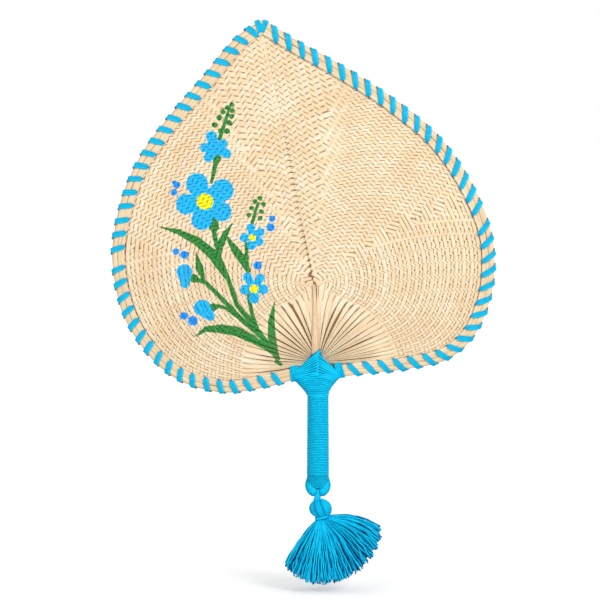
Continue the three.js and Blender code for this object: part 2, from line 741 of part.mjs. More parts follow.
const headTop = barHeight - HEAD_DROP;
const headHeight = headTop - HEAD_HEIGHT / 2;
const bendHeight = headTop - CORD_DEPTH;
const neckTop = headTop - HEAD_HEIGHT + HEAD_CUT - GAP;

// The cord: a closed loop round the foot of the eye, square at its bottom, where it lies in the
// tassel's head.
function tasselCord() {
  const half = EYE_CORE_DIAMETER / 2 + GAP + CORD_DIAMETER / 2;
  const path = new THREE.Path();
  path.absarc(0, barHeight, half, 0, Math.PI, false);
  path.lineTo(-half, bendHeight + CORD_CORNER);
  path.absarc(-half + CORD_CORNER, bendHeight + CORD_CORNER, CORD_CORNER, Math.PI, 1.5 * Math.PI, false);
  path.absarc(half - CORD_CORNER, bendHeight + CORD_CORNER, CORD_CORNER, 1.5 * Math.PI, 2 * Math.PI, false);
  path.closePath();
  const spots = path.getPoints(4).filter((p, i, all) => i === 0 || p.distanceTo(all[i - 1]) > GAP / 2);
  if (spots[0].distanceTo(spots[spots.length - 1]) < GAP / 2) spots.pop();
  const frames = spots.map((spot, i) => {
    const before = spots[(i + spots.length - 1) % spots.length];
    const after = spots[(i + 1) % spots.length];
    const way = after.clone().sub(before).normalize();
    return {
      origin: new THREE.Vector3(0, spot.x, spot.y),
      first: new THREE.Vector3(0, way.y, -way.x),
      second: RIGHT,
    };
  });
  return sweep(roundSection(CORD_DIAMETER, CORD_DIAMETER, 6), frames, true);
}

// The head: a ball cut flat at the neck, with a hole for the cord's bend and two slots in which its
// sides swing.
function tasselHead() {
  const levels = [];
  const low = -Math.asin((HEAD_HEIGHT / 2 - HEAD_CUT) / (HEAD_HEIGHT / 2));
  const high = Math.acos(CORD_DIAMETER / HEAD_WIDTH);
  for (let i = 0; i <= HEAD_STEPS; i++) {
    const angle = high + ((low - high) * i) / HEAD_STEPS;
    const width = HEAD_WIDTH * Math.cos(angle);
    levels.push([headHeight + (HEAD_HEIGHT / 2) * Math.sin(angle), HEAD_SHIFT, width, width]);
  }
  const ball = loft(levels, 16);
  const half = EYE_CORE_DIAMETER / 2 + GAP + CORD_DIAMETER / 2;
  const room = CORD_DIAMETER / 2 + GAP;
  const bore = roundSection(2 * room, 2 * room, 12);
  const across = (low, high) => [low, high].map((back) => ({
    origin: new THREE.Vector3(0, back, bendHeight),
    first: RIGHT,
    second: UP,
  }));
  const swing = THREE.MathUtils.degToRad(SIDE_SWING);
  const reach = CORD_DEPTH + HEAD_DROP;
  const open = room / Math.cos(swing) + reach * Math.tan(swing);
  const wedge = [[-room / Math.cos(swing), 0], [room / Math.cos(swing), 0], [open, reach], [-open, reach]];
  const cutters = [sweep(bore, across(-half - room, half + room))];
  for (const turn of [-1, 1]) {
    cutters.push(sweep(wedge, across(turn * (half - room), turn * (half + room))));
  }
  return ball.subtract(joined(cutters));
}

// The thread round the tassel's neck.
function tieFrames() {
  const radius = NECK_DIAMETER / 2 + GAP + TIE_THREAD;
  const low = neckTop - TIE_THREAD / 2 - TIE_TURNS * TIE_PITCH;
  const frames = windingFrames(radius, low, low + TIE_TURNS * TIE_PITCH, TIE_TURNS, 12, 0);
  for (const frame of frames) frame.origin.x += NECK_SHIFT;
  return frames;
}

const tieSection = roundSection(TIE_THREAD, TIE_THREAD, 4);

// The skirt: strands that spread from a round root without crossing, and droop at their ends.
function tasselSkirt() {
  const root = new THREE.Vector3(NECK_SHIFT, 0, neckTop);
  const foot = root.clone().addScaledVector(UP, -NECK_LENGTH);
  const pieces = [loft([
    [root.z, NECK_SHIFT, NECK_DIAMETER, NECK_DIAMETER],
    [foot.z, NECK_SHIFT, NECK_DIAMETER, NECK_DIAMETER],
  ], 14)];
  const goldenAngle = Math.PI * (3 - Math.sqrt(5));
  const middle = (STRAND_SWING_RIGHT - STRAND_SWING_LEFT) / 2;
  const half = (STRAND_SWING_RIGHT + STRAND_SWING_LEFT) / 2;
  for (let i = 0; i < STRAND_COUNT; i++) {
    const ring = Math.sqrt((i + 1 / 2) / STRAND_COUNT);
    const across = ring * Math.cos(i * goldenAngle);
    const deep = ring * Math.sin(i * goldenAngle);
    const side = middle + half * across;
    const way = (angle) => {
      const [a, b] = [angle, STRAND_SWING_DEEP * deep].map(THREE.MathUtils.degToRad);
      return new THREE.Vector3(Math.sin(a) * Math.cos(b), Math.sin(b), -Math.cos(a) * Math.cos(b));
    };
    const length = STRAND_LENGTH * (1 - STRAND_SHORTER_SHARE * Math.abs(side / STRAND_SWING_RIGHT));
    const spread = (NECK_DIAMETER - 2 * STRAND_THICKNESS) / 2;
    const start = foot.clone().add(new THREE.Vector3(across * spread, deep * spread, STRAND_THICKNESS));
    const bend = start.clone().addScaledVector(way(side * (1 + STRAND_DROOP_SHARE)), length / 2);
    const end = foot.clone().addScaledVector(way(side), length);
    const curve = new THREE.QuadraticBezierCurve3(start, bend, end);
    const frames = STRAND_WIDTH_SHARES.map((width, step) => {
      const along = curve.getTangentAt(step / 2);
      const first = new THREE.Vector3().crossVectors(along, BACK).normalize();
      const second = new THREE.Vector3().crossVectors(first, along).normalize();
      const size = (width * STRAND_THICKNESS) / 2;
      return {
        origin: curve.getPointAt(step / 2),
        first: first.multiplyScalar(size),
        second: second.multiplyScalar(size),
      };
    });
    pieces.push(sweep(roundSection(2, 2, 3), frames));
  }
  return joined(pieces);
}

const fan = new THREE.Group();
const tassel = new THREE.Group();
fan.add(tassel);

fan.add(meshOf("woven_blade", wovenBlade(), straw));
fan.add(meshOf("leaf_heart", leafHeart(), straw));
fan.add(meshOf("leaf_stalk", leafStalk(), stalkWood));
for (const [side, rail] of Object.entries(rails)) {
  fan.add(meshOf(`rim_fold_${side}`, rimFold(rail), strawRim));
  fan.add(meshOf(`rim_front_${side}`, rimStrip(rail, -1), strawRim));
  fan.add(meshOf(`rim_back_${side}`, rimStrip(rail, 1), strawRim));
  fan.add(meshOf(`lashing_${side}`, lashing(rail), thread));
  fan.add(meshOf(`eye_wrap_${side}`, eyeWrap(rail.turn), thread));
}
for (const [name, { rail, holes }] of Object.entries(laces)) {
  const frames = laceFrames(rail, holes);
  fan.add(meshOf(`edge_lacing_${name}`, sweep(laceSection, frames), ribbon));
  console.log(`edge_lacing_${name}: least gap ${leastGap(laceSection, frames, 4).toFixed(2)} mm`);
}
fan.add(meshOf("strip_bundle", stripBundle(), stalkWood));
fan.add(meshOf("grip_winding", sweep(gripSection, gripFrames()), thread));
console.log(`grip_winding: least gap ${leastGap(gripSection, gripFrames(), GRIP_STEPS / 2).toFixed(2)} mm`);
fan.add(meshOf("collar_wrap", collarWrap(), thread));
fan.add(meshOf("end_eye", endEye(), stalkWood));
tassel.add(meshOf("tassel_cord", tasselCord(), thread));
tassel.add(meshOf("tassel_head", tasselHead(), tasselThread));
tassel.add(meshOf("neck_tie", sweep(tieSection, tieFrames()), thread));
console.log(`neck_tie: least gap ${leastGap(tieSection, tieFrames(), 6).toFixed(2)} mm`);
tassel.add(meshOf("tassel_skirt", tasselSkirt(), tasselThread));

export default fan;
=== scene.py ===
"""Palm leaf fan: a plaited leaf blade with a laced rim, a thread-wound grip, an end eye and a tassel.

Sizes in this file are millimetres and are turned into metres where a mesh is made. +Z runs up the
fan, its painted front faces -Y, and the origin is the centre of the grip.
"""
from __future__ import annotations

import logging
import math
from dataclasses import dataclass
from enum import Enum
from typing import Any, Sequence

import bmesh
import bpy
import numpy as np
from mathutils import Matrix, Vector

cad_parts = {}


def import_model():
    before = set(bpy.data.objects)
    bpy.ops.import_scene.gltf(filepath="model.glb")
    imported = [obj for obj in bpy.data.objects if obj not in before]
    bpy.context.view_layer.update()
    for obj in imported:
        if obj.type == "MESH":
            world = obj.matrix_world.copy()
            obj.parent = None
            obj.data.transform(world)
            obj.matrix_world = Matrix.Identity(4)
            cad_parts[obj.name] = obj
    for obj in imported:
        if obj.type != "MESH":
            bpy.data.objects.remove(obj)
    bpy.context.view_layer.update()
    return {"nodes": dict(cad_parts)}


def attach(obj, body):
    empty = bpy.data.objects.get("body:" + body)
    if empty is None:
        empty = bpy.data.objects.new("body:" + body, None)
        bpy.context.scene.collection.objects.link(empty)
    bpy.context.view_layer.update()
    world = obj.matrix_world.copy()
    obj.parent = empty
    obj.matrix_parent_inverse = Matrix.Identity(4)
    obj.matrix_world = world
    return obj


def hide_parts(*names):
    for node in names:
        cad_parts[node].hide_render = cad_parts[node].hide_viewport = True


LOG = logging.getLogger("palm_leaf_fan")
MM = 0.001
TINY = 1e-9
FRONT = np.array([0.0, -1.0, 0.0])
BACK = np.array([0.0, 1.0, 0.0])
UP = np.array([0.0, 0.0, 1.0])
SIDES = ((-1, "left"), (1, "right"))
THREAD_POINTS = 8
STRIP_GAP = 53.0  # how far apart two strips read the streaks' noise
THREAD_GAP = 61.0  # how far apart two threads read the shade's noise
PLY_LEAN = 0.45  # how much of a turn a ply goes on from the middle of a thread to its edge
BRUSH_EDGE = 2.2  # how sharp a stroke's edge is: 1 / this is its soft width, in millimetres
Socket = bpy.types.NodeSocket
Tree = bpy.types.NodeTree
Material = bpy.types.Material
Piece = bpy.types.Object
Array = np.ndarray
Random = np.random.Generator
Colour = tuple[float, float, float, float]
Pair = tuple[float, float]
Region = tuple[float, float, float, float]
WHITE = (1.0, 1.0, 1.0, 1.0)


def rgb(red: float, green: float, blue: float) -> Colour:
    """Turn a screen colour, 0 to 255, into the linear colour that a shader takes."""
    linear = [((c / 255 + 0.055) / 1.055) ** 2.4 if c > 10 else c / 255 / 12.92 for c in (red, green, blue)]
    return (linear[0], linear[1], linear[2], 1.0)


def unit(vectors: Array) -> Array:
    """Scale each row of a list of vectors to length one."""
    length = np.linalg.norm(vectors, axis=-1, keepdims=True)
    return vectors / np.maximum(length, TINY)


def tangents(points: Array) -> Array:
    """Give the direction of a path at each of its points."""
    return unit(np.gradient(points, axis=0))


def smoothstep(value: Array | float) -> Array | float:
    """Ease from 0 to 1, flat at both ends."""
    clipped = np.clip(value, 0.0, 1.0)
    return clipped * clipped * (3 - 2 * clipped)


def powered(value: Array, power: float) -> Array:
    """Raise the size of each value to a power and keep its sign."""
    return np.sign(value) * np.abs(value) ** power


def turned(count: int, steps: int) -> Array:
    """Give the angles of so many points, with so many steps to a full turn."""
    return np.arange(count) / steps * 2 * math.pi


def ellipse(angle: Array, shift: Any, half: Any, deep: Any, height: Any, power: float = 1.0) -> Array:
    """Give points round an upright axis.

    Args:
        angle: their angles.
        shift: how far to the side the axis is.
        half: the half width.
        deep: the half depth.
        height: how high the points are.
        power: below 1 the outline is fuller than an ellipse.

    Returns:
        The points.
    """
    across, depth = powered(np.cos(angle), power), powered(np.sin(angle), power)
    return np.column_stack([shift + half * across, deep * depth, height + np.zeros(len(angle))])


def new_object(name: str, data: bpy.types.ID) -> Piece:
    """Make an object at the origin.

    Args:
        name: its name.
        data: its mesh, camera or light.

    Returns:
        The object, linked to the scene.
    """
    made = bpy.data.objects.new(name, data)
    bpy.context.scene.collection.objects.link(made)
    return made


class Nodes:
    """Adds nodes to one tree and links them, so that a tree reads as a list of steps."""

    def __init__(self, tree: Tree) -> None:
        """Keep the tree that nodes are added to."""
        self.tree = tree

    def add(self, kind: str, inputs: dict[str | int, Any] | None = None, **settings: Any) -> bpy.types.Node:
        """Add a node.

        Args:
            kind: the node's Blender type.
            inputs: for each input, by name or number, a value or the socket that feeds it.
            **settings: the node's own properties.

        Returns:
            The new node.
        """
        node = self.tree.nodes.new(kind)
        for name, value in settings.items():
            setattr(node, name, value)
        for name, value in (inputs or {}).items():
            self.feed(node.inputs[name], value)
        return node

    def feed(self, socket: Socket, value: Any) -> None:
        """Give an input what it takes.

        Args:
            socket: the input.
            value: the output that is linked to it, or its plain value.
        """
        if isinstance(value, Socket):
            self.tree.links.new(value, socket)
        else:
            socket.default_value = value

    def math(self, operation: str, first: Any, second: Any = 0.0, clamp: bool = False) -> Socket:
        """Add a Math node and give its output."""
        node = self.add("ShaderNodeMath", {0: first, 1: second}, operation=operation, use_clamp=clamp)
        return node.outputs[0]

    def times(self, first: Any, second: Any) -> Socket:
        """Multiply two numbers."""
        return self.math("MULTIPLY", first, second)

    def vector(self, operation: str, first: Any, second: Any = None) -> Socket:
        """Add a Vector Math node and give its vector."""
        inputs = {0: first} if second is None else {0: first, 1: second}
        return self.add("ShaderNodeVectorMath", inputs, operation=operation).outputs[0]

    def measure(self, operation: str, first: Any, second: Any = None) -> Socket:
        """Add a Vector Math node that gives a number, such as a length."""
        inputs = {0: first} if second is None else {0: first, 1: second}
        return self.add("ShaderNodeVectorMath", inputs, operation=operation).outputs["Value"]

    def scaled(self, vector: Any, factor: Any) -> Socket:
        """Scale a vector by a number."""
        return self.add("ShaderNodeVectorMath", {0: vector, "Scale": factor}, operation="SCALE").outputs[0]

    def parts(self, vector: Any) -> bpy.types.bpy_prop_collection:
        """Part a vector into its three numbers."""
        return self.add("ShaderNodeSeparateXYZ", {0: vector}).outputs

    def xyz(self, x: Any, y: Any, z: Any) -> Socket:
        """Join three numbers into a vector."""
        return self.add("ShaderNodeCombineXYZ", {0: x, 1: y, 2: z}).outputs[0]

    def mix(self, factor: Any, first: Any, second: Any) -> Socket:
        """Mix two colours by a factor and give the result."""
        inputs = {0: factor, 6: first, 7: second}
        return self.add("ShaderNodeMix", inputs, data_type="RGBA", clamp_factor=True).outputs[2]

    def tint(self, colour: Any, other: Any, mask: Any, strength: float) -> Socket:
        """Draw a colour towards another where a mask is high."""
        return self.mix(self.times(mask, strength), colour, other)

    def fit(self, value: Any, low: Any, high: float, to_low: float = 0.0, to_high: float = 1.0,
            kind: str = "SMOOTHSTEP") -> Socket:
        """Carry a range of values over to another, clamped at its ends."""
        inputs = {0: value, 1: low, 2: high, 3: to_low, 4: to_high}
        return self.add("ShaderNodeMapRange", inputs, interpolation_type=kind).outputs[0]

    def noise(self, place: Any, scale: float, detail: float = 2.0, rough: float = 0.5) -> Socket:
        """Add a noise field and give its value."""
        inputs = {"Vector": place, "Scale": scale, "Detail": detail, "Roughness": rough}
        return self.add("ShaderNodeTexNoise", inputs).outputs["Fac"]

    def seeded_noise(self, place: Any, scale: Any, seed: Any, detail: float, output: str) -> Socket:
        """Add a noise field with a seed of its own, and give its value or its colour."""
        inputs = {"Vector": place, "Scale": scale, "W": seed, "Detail": detail}
        return self.add("ShaderNodeTexNoise", inputs, noise_dimensions="4D").outputs[output]

    def attribute(self, name: str) -> Socket:
        """Read a number that the piece keeps for each point, in a shader."""
        return self.add("ShaderNodeAttribute", attribute_name=name).outputs["Fac"]

    def stored(self, name: str, kind: str = "FLOAT") -> Socket:
        """Read what the paths keep for each point, in a geometry tree."""
        node = self.add("GeometryNodeInputNamedAttribute", {"Name": name}, data_type=kind)
        return node.outputs["Attribute"]

    def store(self, geometry: Any, name: str, value: Any) -> Socket:
        """Keep a number for each point, in a geometry tree.

        Args:
            geometry: what the points belong to.
            name: the name that the number is kept under.
            value: the number.

        Returns:
            The same geometry, with the number.
        """
        inputs = {"Geometry": geometry, "Name": name, "Value": value}
        node = self.add("GeometryNodeStoreNamedAttribute", inputs, data_type="FLOAT", domain="POINT")
        return node.outputs[0]

    def sweep(self, curve: Any, profile: Any, size: Any = 1.0) -> Socket:
        """Sweep a profile along a curve, with closed ends."""
        inputs = {"Curve": curve, "Profile Curve": profile, "Scale": size, "Fill Caps": True}
        return self.add("GeometryNodeCurveToMesh", inputs).outputs[0]

    def ring(self, points: Any, width: Any, thickness: Any) -> Socket:
        """Add a round or flattened profile.

        Args:
            points: how many points it has.
            width: how wide it is.
            thickness: how thick it is.

        Returns:
            The profile's curve.
        """
        ring = self.add("GeometryNodeCurvePrimitiveCircle", {"Resolution": points, "Radius": 0.5}).outputs[0]
        inputs = {"Geometry": ring, "Scale": self.xyz(width, thickness, 1.0)}
        return self.add("GeometryNodeTransform", inputs).outputs[0]

    def profile(self, curve: Any, width: Any, axis: int = 0) -> Socket:
        """Let a profile store how far across it each point is, -1 to 1."""
        spot = self.parts(self.add("GeometryNodeInputPosition").outputs[0])
        return self.store(curve, "across", self.math("DIVIDE", spot[axis], self.times(width, 0.5)))

    def finish(self, piece: Any, finish: Any) -> None:
        """End a geometry tree: realize its instances, set its material and put it out.

        Args:
            piece: the geometry.
            finish: its material.
        """
        real = self.add("GeometryNodeRealizeInstances", {"Geometry": piece}).outputs[0]
        self.add("NodeGroupOutput", {0: self.add("GeometryNodeSetMaterial", {
            "Geometry": real, "Material": finish}).outputs[0]})


class Group(Nodes):
    """A new node group, with its named inputs at hand as `given`."""

    def __init__(self, name: str, kind: str, inputs: dict[str, str], outputs: dict[str, str]) -> None:
        """Make the group.

        Args:
            name: its name.
            kind: GeometryNodeTree or ShaderNodeTree.
            inputs: the type of each named input, such as Float.
            outputs: the type of each named output.
        """
        super().__init__(bpy.data.node_groups.new(name, kind))
        for way, sockets in (("INPUT", inputs), ("OUTPUT", outputs)):
            for label, socket in sockets.items():
                self.tree.interface.new_socket(label, in_out=way, socket_type=f"NodeSocket{socket}")
        self.given = self.add("NodeGroupInput").outputs


class Surface(Nodes):
    """A new material with one Principled shader, and the nodes that feed it."""

    def __init__(self, name: str) -> None:
        """Make the material.

        Args:
            name: its name.
        """
        self.material = bpy.data.materials.new(name)
        self.material.use_nodes = True
        self.material.node_tree.nodes.clear()
        super().__init__(self.material.node_tree)
        self.shader = self.add("ShaderNodeBsdfPrincipled")
        self.add("ShaderNodeOutputMaterial", {0: self.shader.outputs[0]})

    def place(self) -> Socket:
        """Read the place on the piece, in metres."""
        return self.add("ShaderNodeTexCoord").outputs["Object"]

    def give(self, **values: Any) -> None:
        """Feed the shader's inputs, named in lower case with underscores."""
        names = {socket.name.lower().replace(" ", "_"): socket for socket in self.shader.inputs}
        for name, value in values.items():
            self.feed(names[name], value)

    def gloss(self, mask: Any, at_low: float, at_high: float) -> None:
        """Let the roughness follow a mask."""
        self.give(roughness=self.fit(mask, 0.0, 1.0, at_low, at_high, "LINEAR"))

    def bump(self, height: Any, depth: float, strength: float) -> None:
        """Feed a height, of a depth in millimetres, to the shader's normal."""
        inputs = {"Strength": strength, "Distance": depth * MM, "Height": height}
        self.give(normal=self.add("ShaderNodeBump", inputs).outputs[0])


class Section(Enum):
    """The cross-section of a swept strip or thread."""

    LENS = "lens"
    ROUND = "round"
    SLAB = "slab"

    def profile(self, nodes: Group) -> Socket:
        """Add the section's profile curve.

        Args:
            nodes: the geometry tree, whose inputs hold the section's sizes.

        Returns:
            The curve, which keeps how far across it each point is.
        """
        width, thickness = nodes.given["Width"], nodes.given["Thickness"]
        if self is Section.SLAB:
            flat = nodes.add("GeometryNodeCurvePrimitiveQuadrilateral", {"Width": width, "Height": thickness})
            inputs = {"Curve": flat.outputs[0], "Radius": nodes.times(thickness, 0.42), "Count": 2}
            curve = nodes.add("GeometryNodeFilletCurve", inputs, mode="POLY").outputs[0]
        else:
            curve = nodes.ring(nodes.given["Section Points"], width, thickness)
        return nodes.profile(curve, width)

    def tree(self) -> Tree:
        """Find or build the tree that sweeps the section along every path of a piece.

        Returns:
            The tree, whose named inputs are the section's sizes, the paths' waviness, the seed and
            the finish.
        """
        name = f"Sweep {self.value}"
        if name in bpy.data.node_groups:
            return bpy.data.node_groups[name]
        nodes = Group(name, "GeometryNodeTree", {
            "Paths": "Geometry", "Width": "Float", "Thickness": "Float", "Section Points": "Int",
            "Waviness": "Float", "Wave Scale": "Float", "Seed": "Float", "Finish": "Material",
        }, {"Piece": "Geometry"})
        given = nodes.given
        curve = nodes.add("GeometryNodeMeshToCurve", {"Mesh": given["Paths"]}).outputs[0]
        own_seed = nodes.math("ADD", given["Seed"], nodes.times(nodes.stored("tone"), 3.0))
        place = nodes.add("GeometryNodeInputPosition").outputs[0]
        drift = nodes.seeded_noise(place, given["Wave Scale"], own_seed, 1.0, "Color")
        drift = nodes.vector("SUBTRACT", drift, (0.5, 0.5, 0.5))
        drift = nodes.scaled(drift, nodes.times(given["Waviness"], nodes.stored("loose")))
        curve = nodes.add("GeometryNodeSetPosition", {"Geometry": curve, "Offset": drift}).outputs[0]
        curve = nodes.store(curve, "along", nodes.add("GeometryNodeSplineParameter").outputs["Length"])
        inputs = {"Curve": curve, "Normal": nodes.stored("side", "FLOAT_VECTOR")}
        curve = nodes.add("GeometryNodeSetCurveNormal", inputs, mode="FREE").outputs[0]
        nodes.finish(nodes.sweep(curve, self.profile(nodes), nodes.stored("size")), given["Finish"])
        return nodes.tree


def apply_tree(holder: Piece, tree: Tree, inputs: dict[str, Any]) -> Piece:
    """Run a geometry tree on an object and keep the result as a plain mesh.

    Args:
        holder: the object that carries the paths.
        tree: the geometry tree.
        inputs: the value of each of its named inputs.

    Returns:
        The same object, with the finished mesh and no modifier.
    """
    modifier = holder.modifiers.new("Make", "NODES")
    modifier.node_group = tree
    for item in tree.interface.items_tree:
        if item.item_type == "SOCKET" and item.in_out == "INPUT" and item.name in inputs:
            modifier[item.identifier] = inputs[item.name]
    holder.update_tag()
    bpy.context.view_layer.update()
    graph = bpy.context.evaluated_depsgraph_get()
    mesh = bpy.data.meshes.new_from_object(holder.evaluated_get(graph))
    holder.modifiers.remove(modifier)
    paths = holder.data
    holder.data = mesh
    mesh.name = holder.name
    bpy.data.meshes.remove(paths)
    mesh.polygons.foreach_set("use_smooth", np.ones(len(mesh.polygons), dtype=bool))
    mesh.update()
    return holder


class Paths:
    """Collects the paths of a piece and sweeps one section along them all."""

    def __init__(self) -> None:
        """Start with no path."""
        self.points: list[Array] = []
        self.sides: list[Array] = []
        self.values: dict[str, list[Array]] = {"size": [], "tone": [], "lift": [], "loose": []}

    def add(self, points: Array, side: Array, size: Any = 1.0, tone: float = 0.5, lift: Any = 1.0,
            loose: Any = 0.0) -> None:
        """Add one path.

        Args:
            points: its places, in millimetres.
            side: the direction of the section's width, for the whole path or at each point.
            size: the section's scale, for the whole path or at each point.
            tone: the shade of the strip, 0 to 1.
            lift: how far towards the eye it lies, -1 to 1; the finishes paint shade where it is low.
            loose: the share of the piece's waviness that each point takes.
        """
        direction = tangents(points)
        across = np.broadcast_to(side, points.shape)
        across = across - direction * np.sum(across * direction, axis=1, keepdims=True)
        self.points.append(points)
        self.sides.append(unit(across))
        for name, value in (("size", size), ("tone", tone), ("lift", lift), ("loose", loose)):
            self.values[name].append(np.broadcast_to(np.asarray(value, dtype=float), len(points)))

    def holder(self, name: str) -> Piece:
        """Make the object whose edges are the paths.

        Args:
            name: its name.

        Returns:
            The object, with the paths' values as attributes.
        """
        edges: list[tuple[int, int]] = []
        start = 0
        for points in self.points:
            edges += [(start + i, start + i + 1) for i in range(len(points) - 1)]
            start += len(points)
        mesh = bpy.data.meshes.new(name)
        mesh.from_pydata((np.concatenate(self.points) * MM).tolist(), edges, [])
        side = mesh.attributes.new("side", "FLOAT_VECTOR", "POINT")
        side.data.foreach_set("vector", np.concatenate(self.sides).astype(np.float32).ravel())
        for label, values in self.values.items():
            layer = mesh.attributes.new(label, "FLOAT", "POINT")
            layer.data.foreach_set("value", np.concatenate(values).astype(np.float32))
        return new_object(name, mesh)

    def sweep(self, name: str, section: Section, width: float, thickness: float, finish: Material,
              points: int = 6, waviness: float = 0.0, wave: float = 40.0, seed: float = 0.0) -> Piece:
        """Sweep a section along the paths.

        Args:
            name: the piece's name.
            section: the shape of the section.
            width: its width along each path's side, in millimetres.
            thickness: its other measure, in millimetres.
            finish: the piece's material.
            points: how many points a lens or round section has.
            waviness: how far the loosest points drift, in millimetres.
            wave: how many waves there are in a metre.
            seed: the seed of the drift.

        Returns:
            The finished piece.
        """
        inputs = {"Width": width * MM, "Thickness": thickness * MM, "Section Points": points,
                  "Waviness": waviness * MM, "Wave Scale": wave, "Seed": seed, "Finish": finish}
        return apply_tree(self.holder(name), section.tree(), inputs)

    def thread(self, name: str, width: float, finish: Material) -> Piece:
        """Lay one round thread along every path."""
        return self.sweep(name, Section.ROUND, width, width, finish, THREAD_POINTS)


def place(piece: Piece, body: str, slot: str, *nodes: str) -> None:
    """Let a piece ride on a body.

    Args:
        piece: the piece.
        body: the body that carries it.
        slot: the slot that its finish belongs to; not used.
        *nodes: the CAD nodes that it stands for.
    """
    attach(piece, body)
    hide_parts(*nodes)
    LOG.info("%s: %d faces, rides on %s", piece.name, len(piece.data.polygons), body)


def grain_group() -> Tree:
    """Find or build the shared group of a strip's lengthwise streaks and its painted edge and hollow shade.

    Returns:
        A shader group. It reads how far across and along the strip a point is, and the strip's tone
        and lift, and puts out masks from 0 to 1.
    """
    if "Strip Grain" in bpy.data.node_groups:
        return bpy.data.node_groups["Strip Grain"]
    nodes = Group("Strip Grain", "ShaderNodeTree",
                  {"Streaks": "Float", "Length": "Float", "Edge Start": "Float", "Hollow Top": "Float"},
                  {"Streak": "Float", "Edge": "Float", "Hollow": "Float", "Tone": "Float"})
    given = nodes.given
    across, tone = nodes.attribute("across"), nodes.attribute("tone")
    lengths = nodes.math("DIVIDE", nodes.times(nodes.attribute("along"), 1 / MM), given["Length"])
    spot = nodes.xyz(nodes.times(across, given["Streaks"]), lengths, nodes.times(tone, STRIP_GAP))
    streak = nodes.fit(nodes.noise(spot, 1.0, 3.0, 0.62), 0.3, 0.7)
    # Edge and Hollow are masks of painted shade: along the strip's edges, and where its low lift shows it
    # diving under another strip.
    edge = nodes.fit(nodes.math("ABSOLUTE", across), given["Edge Start"], 1.0, kind="LINEAR")
    hollow = nodes.fit(nodes.attribute("lift"), given["Hollow Top"], -1.0, kind="LINEAR")
    nodes.add("NodeGroupOutput", {0: streak, 1: edge, 2: hollow, 3: tone})
    return nodes.tree


def twist_group() -> Tree:
    """Find or build the shared group of a thread's twisted plies.

    Returns:
        A shader group that puts out the plies' height and a slow change of shade along the thread.
    """
    if "Thread Twist" in bpy.data.node_groups:
        return bpy.data.node_groups["Thread Twist"]
    nodes = Group("Thread Twist", "ShaderNodeTree", {"Ply Pitch": "Float", "Patch": "Float"},
                  {"Ply": "Float", "Shade": "Float"})
    given = nodes.given
    along = nodes.times(nodes.attribute("along"), 1 / MM)
    lean = nodes.times(nodes.attribute("across"), PLY_LEAN)
    phase = nodes.math("ADD", nodes.math("DIVIDE", along, given["Ply Pitch"]), lean)
    wave = nodes.math("SINE", nodes.times(phase, 2 * math.pi))
    own = nodes.times(nodes.attribute("tone"), THREAD_GAP)
    spot = nodes.xyz(nodes.math("DIVIDE", along, given["Patch"]), own, 0.0)
    nodes.add("NodeGroupOutput", {0: nodes.math("ADD", nodes.times(wave, 0.5), 0.5),
                                  1: nodes.fit(nodes.noise(spot, 1.0), 0.3, 0.7)})
    return nodes.tree


def stroke_group() -> Tree:
    """Find or build the shared group that adds one tapered brush stroke to a mask.

    Returns:
        A shader group: it takes a place whose second number is the mask so far, the stroke's two ends
        and the half widths there, and puts out the same with the stroke in the mask.
    """
    if "Brush Stroke" in bpy.data.node_groups:
        return bpy.data.node_groups["Brush Stroke"]
    nodes = Group("Brush Stroke", "ShaderNodeTree", {
        "Place": "Vector", "From": "Vector", "To": "Vector", "Start Width": "Float", "End Width": "Float",
    }, {"Place": "Vector"})
    given = nodes.given
    right, mask, up = nodes.parts(given["Place"])
    off = nodes.vector("SUBTRACT", nodes.xyz(right, 0.0, up), given["From"])
    line = nodes.vector("SUBTRACT", given["To"], given["From"])
    whole = nodes.math("MAXIMUM", nodes.measure("DOT_PRODUCT", line, line), 0.0001)
    share = nodes.math("DIVIDE", nodes.measure("DOT_PRODUCT", off, line), whole, clamp=True)
    away = nodes.measure("LENGTH", nodes.vector("SUBTRACT", off, nodes.scaled(line, share)))
    taper = nodes.math("SUBTRACT", given["End Width"], given["Start Width"])
    half = nodes.math("ADD", given["Start Width"], nodes.times(taper, share))
    own = nodes.math("ADD", nodes.times(nodes.math("SUBTRACT", half, away), BRUSH_EDGE), 0.5, clamp=True)
    nodes.add("NodeGroupOutput", {0: nodes.xyz(right, nodes.math("MAXIMUM", own, mask), up)})
    return nodes.tree


@dataclass(frozen=True)
class Stroke:
    """One tapered brush stroke, in millimetres sideways and up from the spray's foot."""

    start: Pair
    end: Pair
    start_width: float
    end_width: float


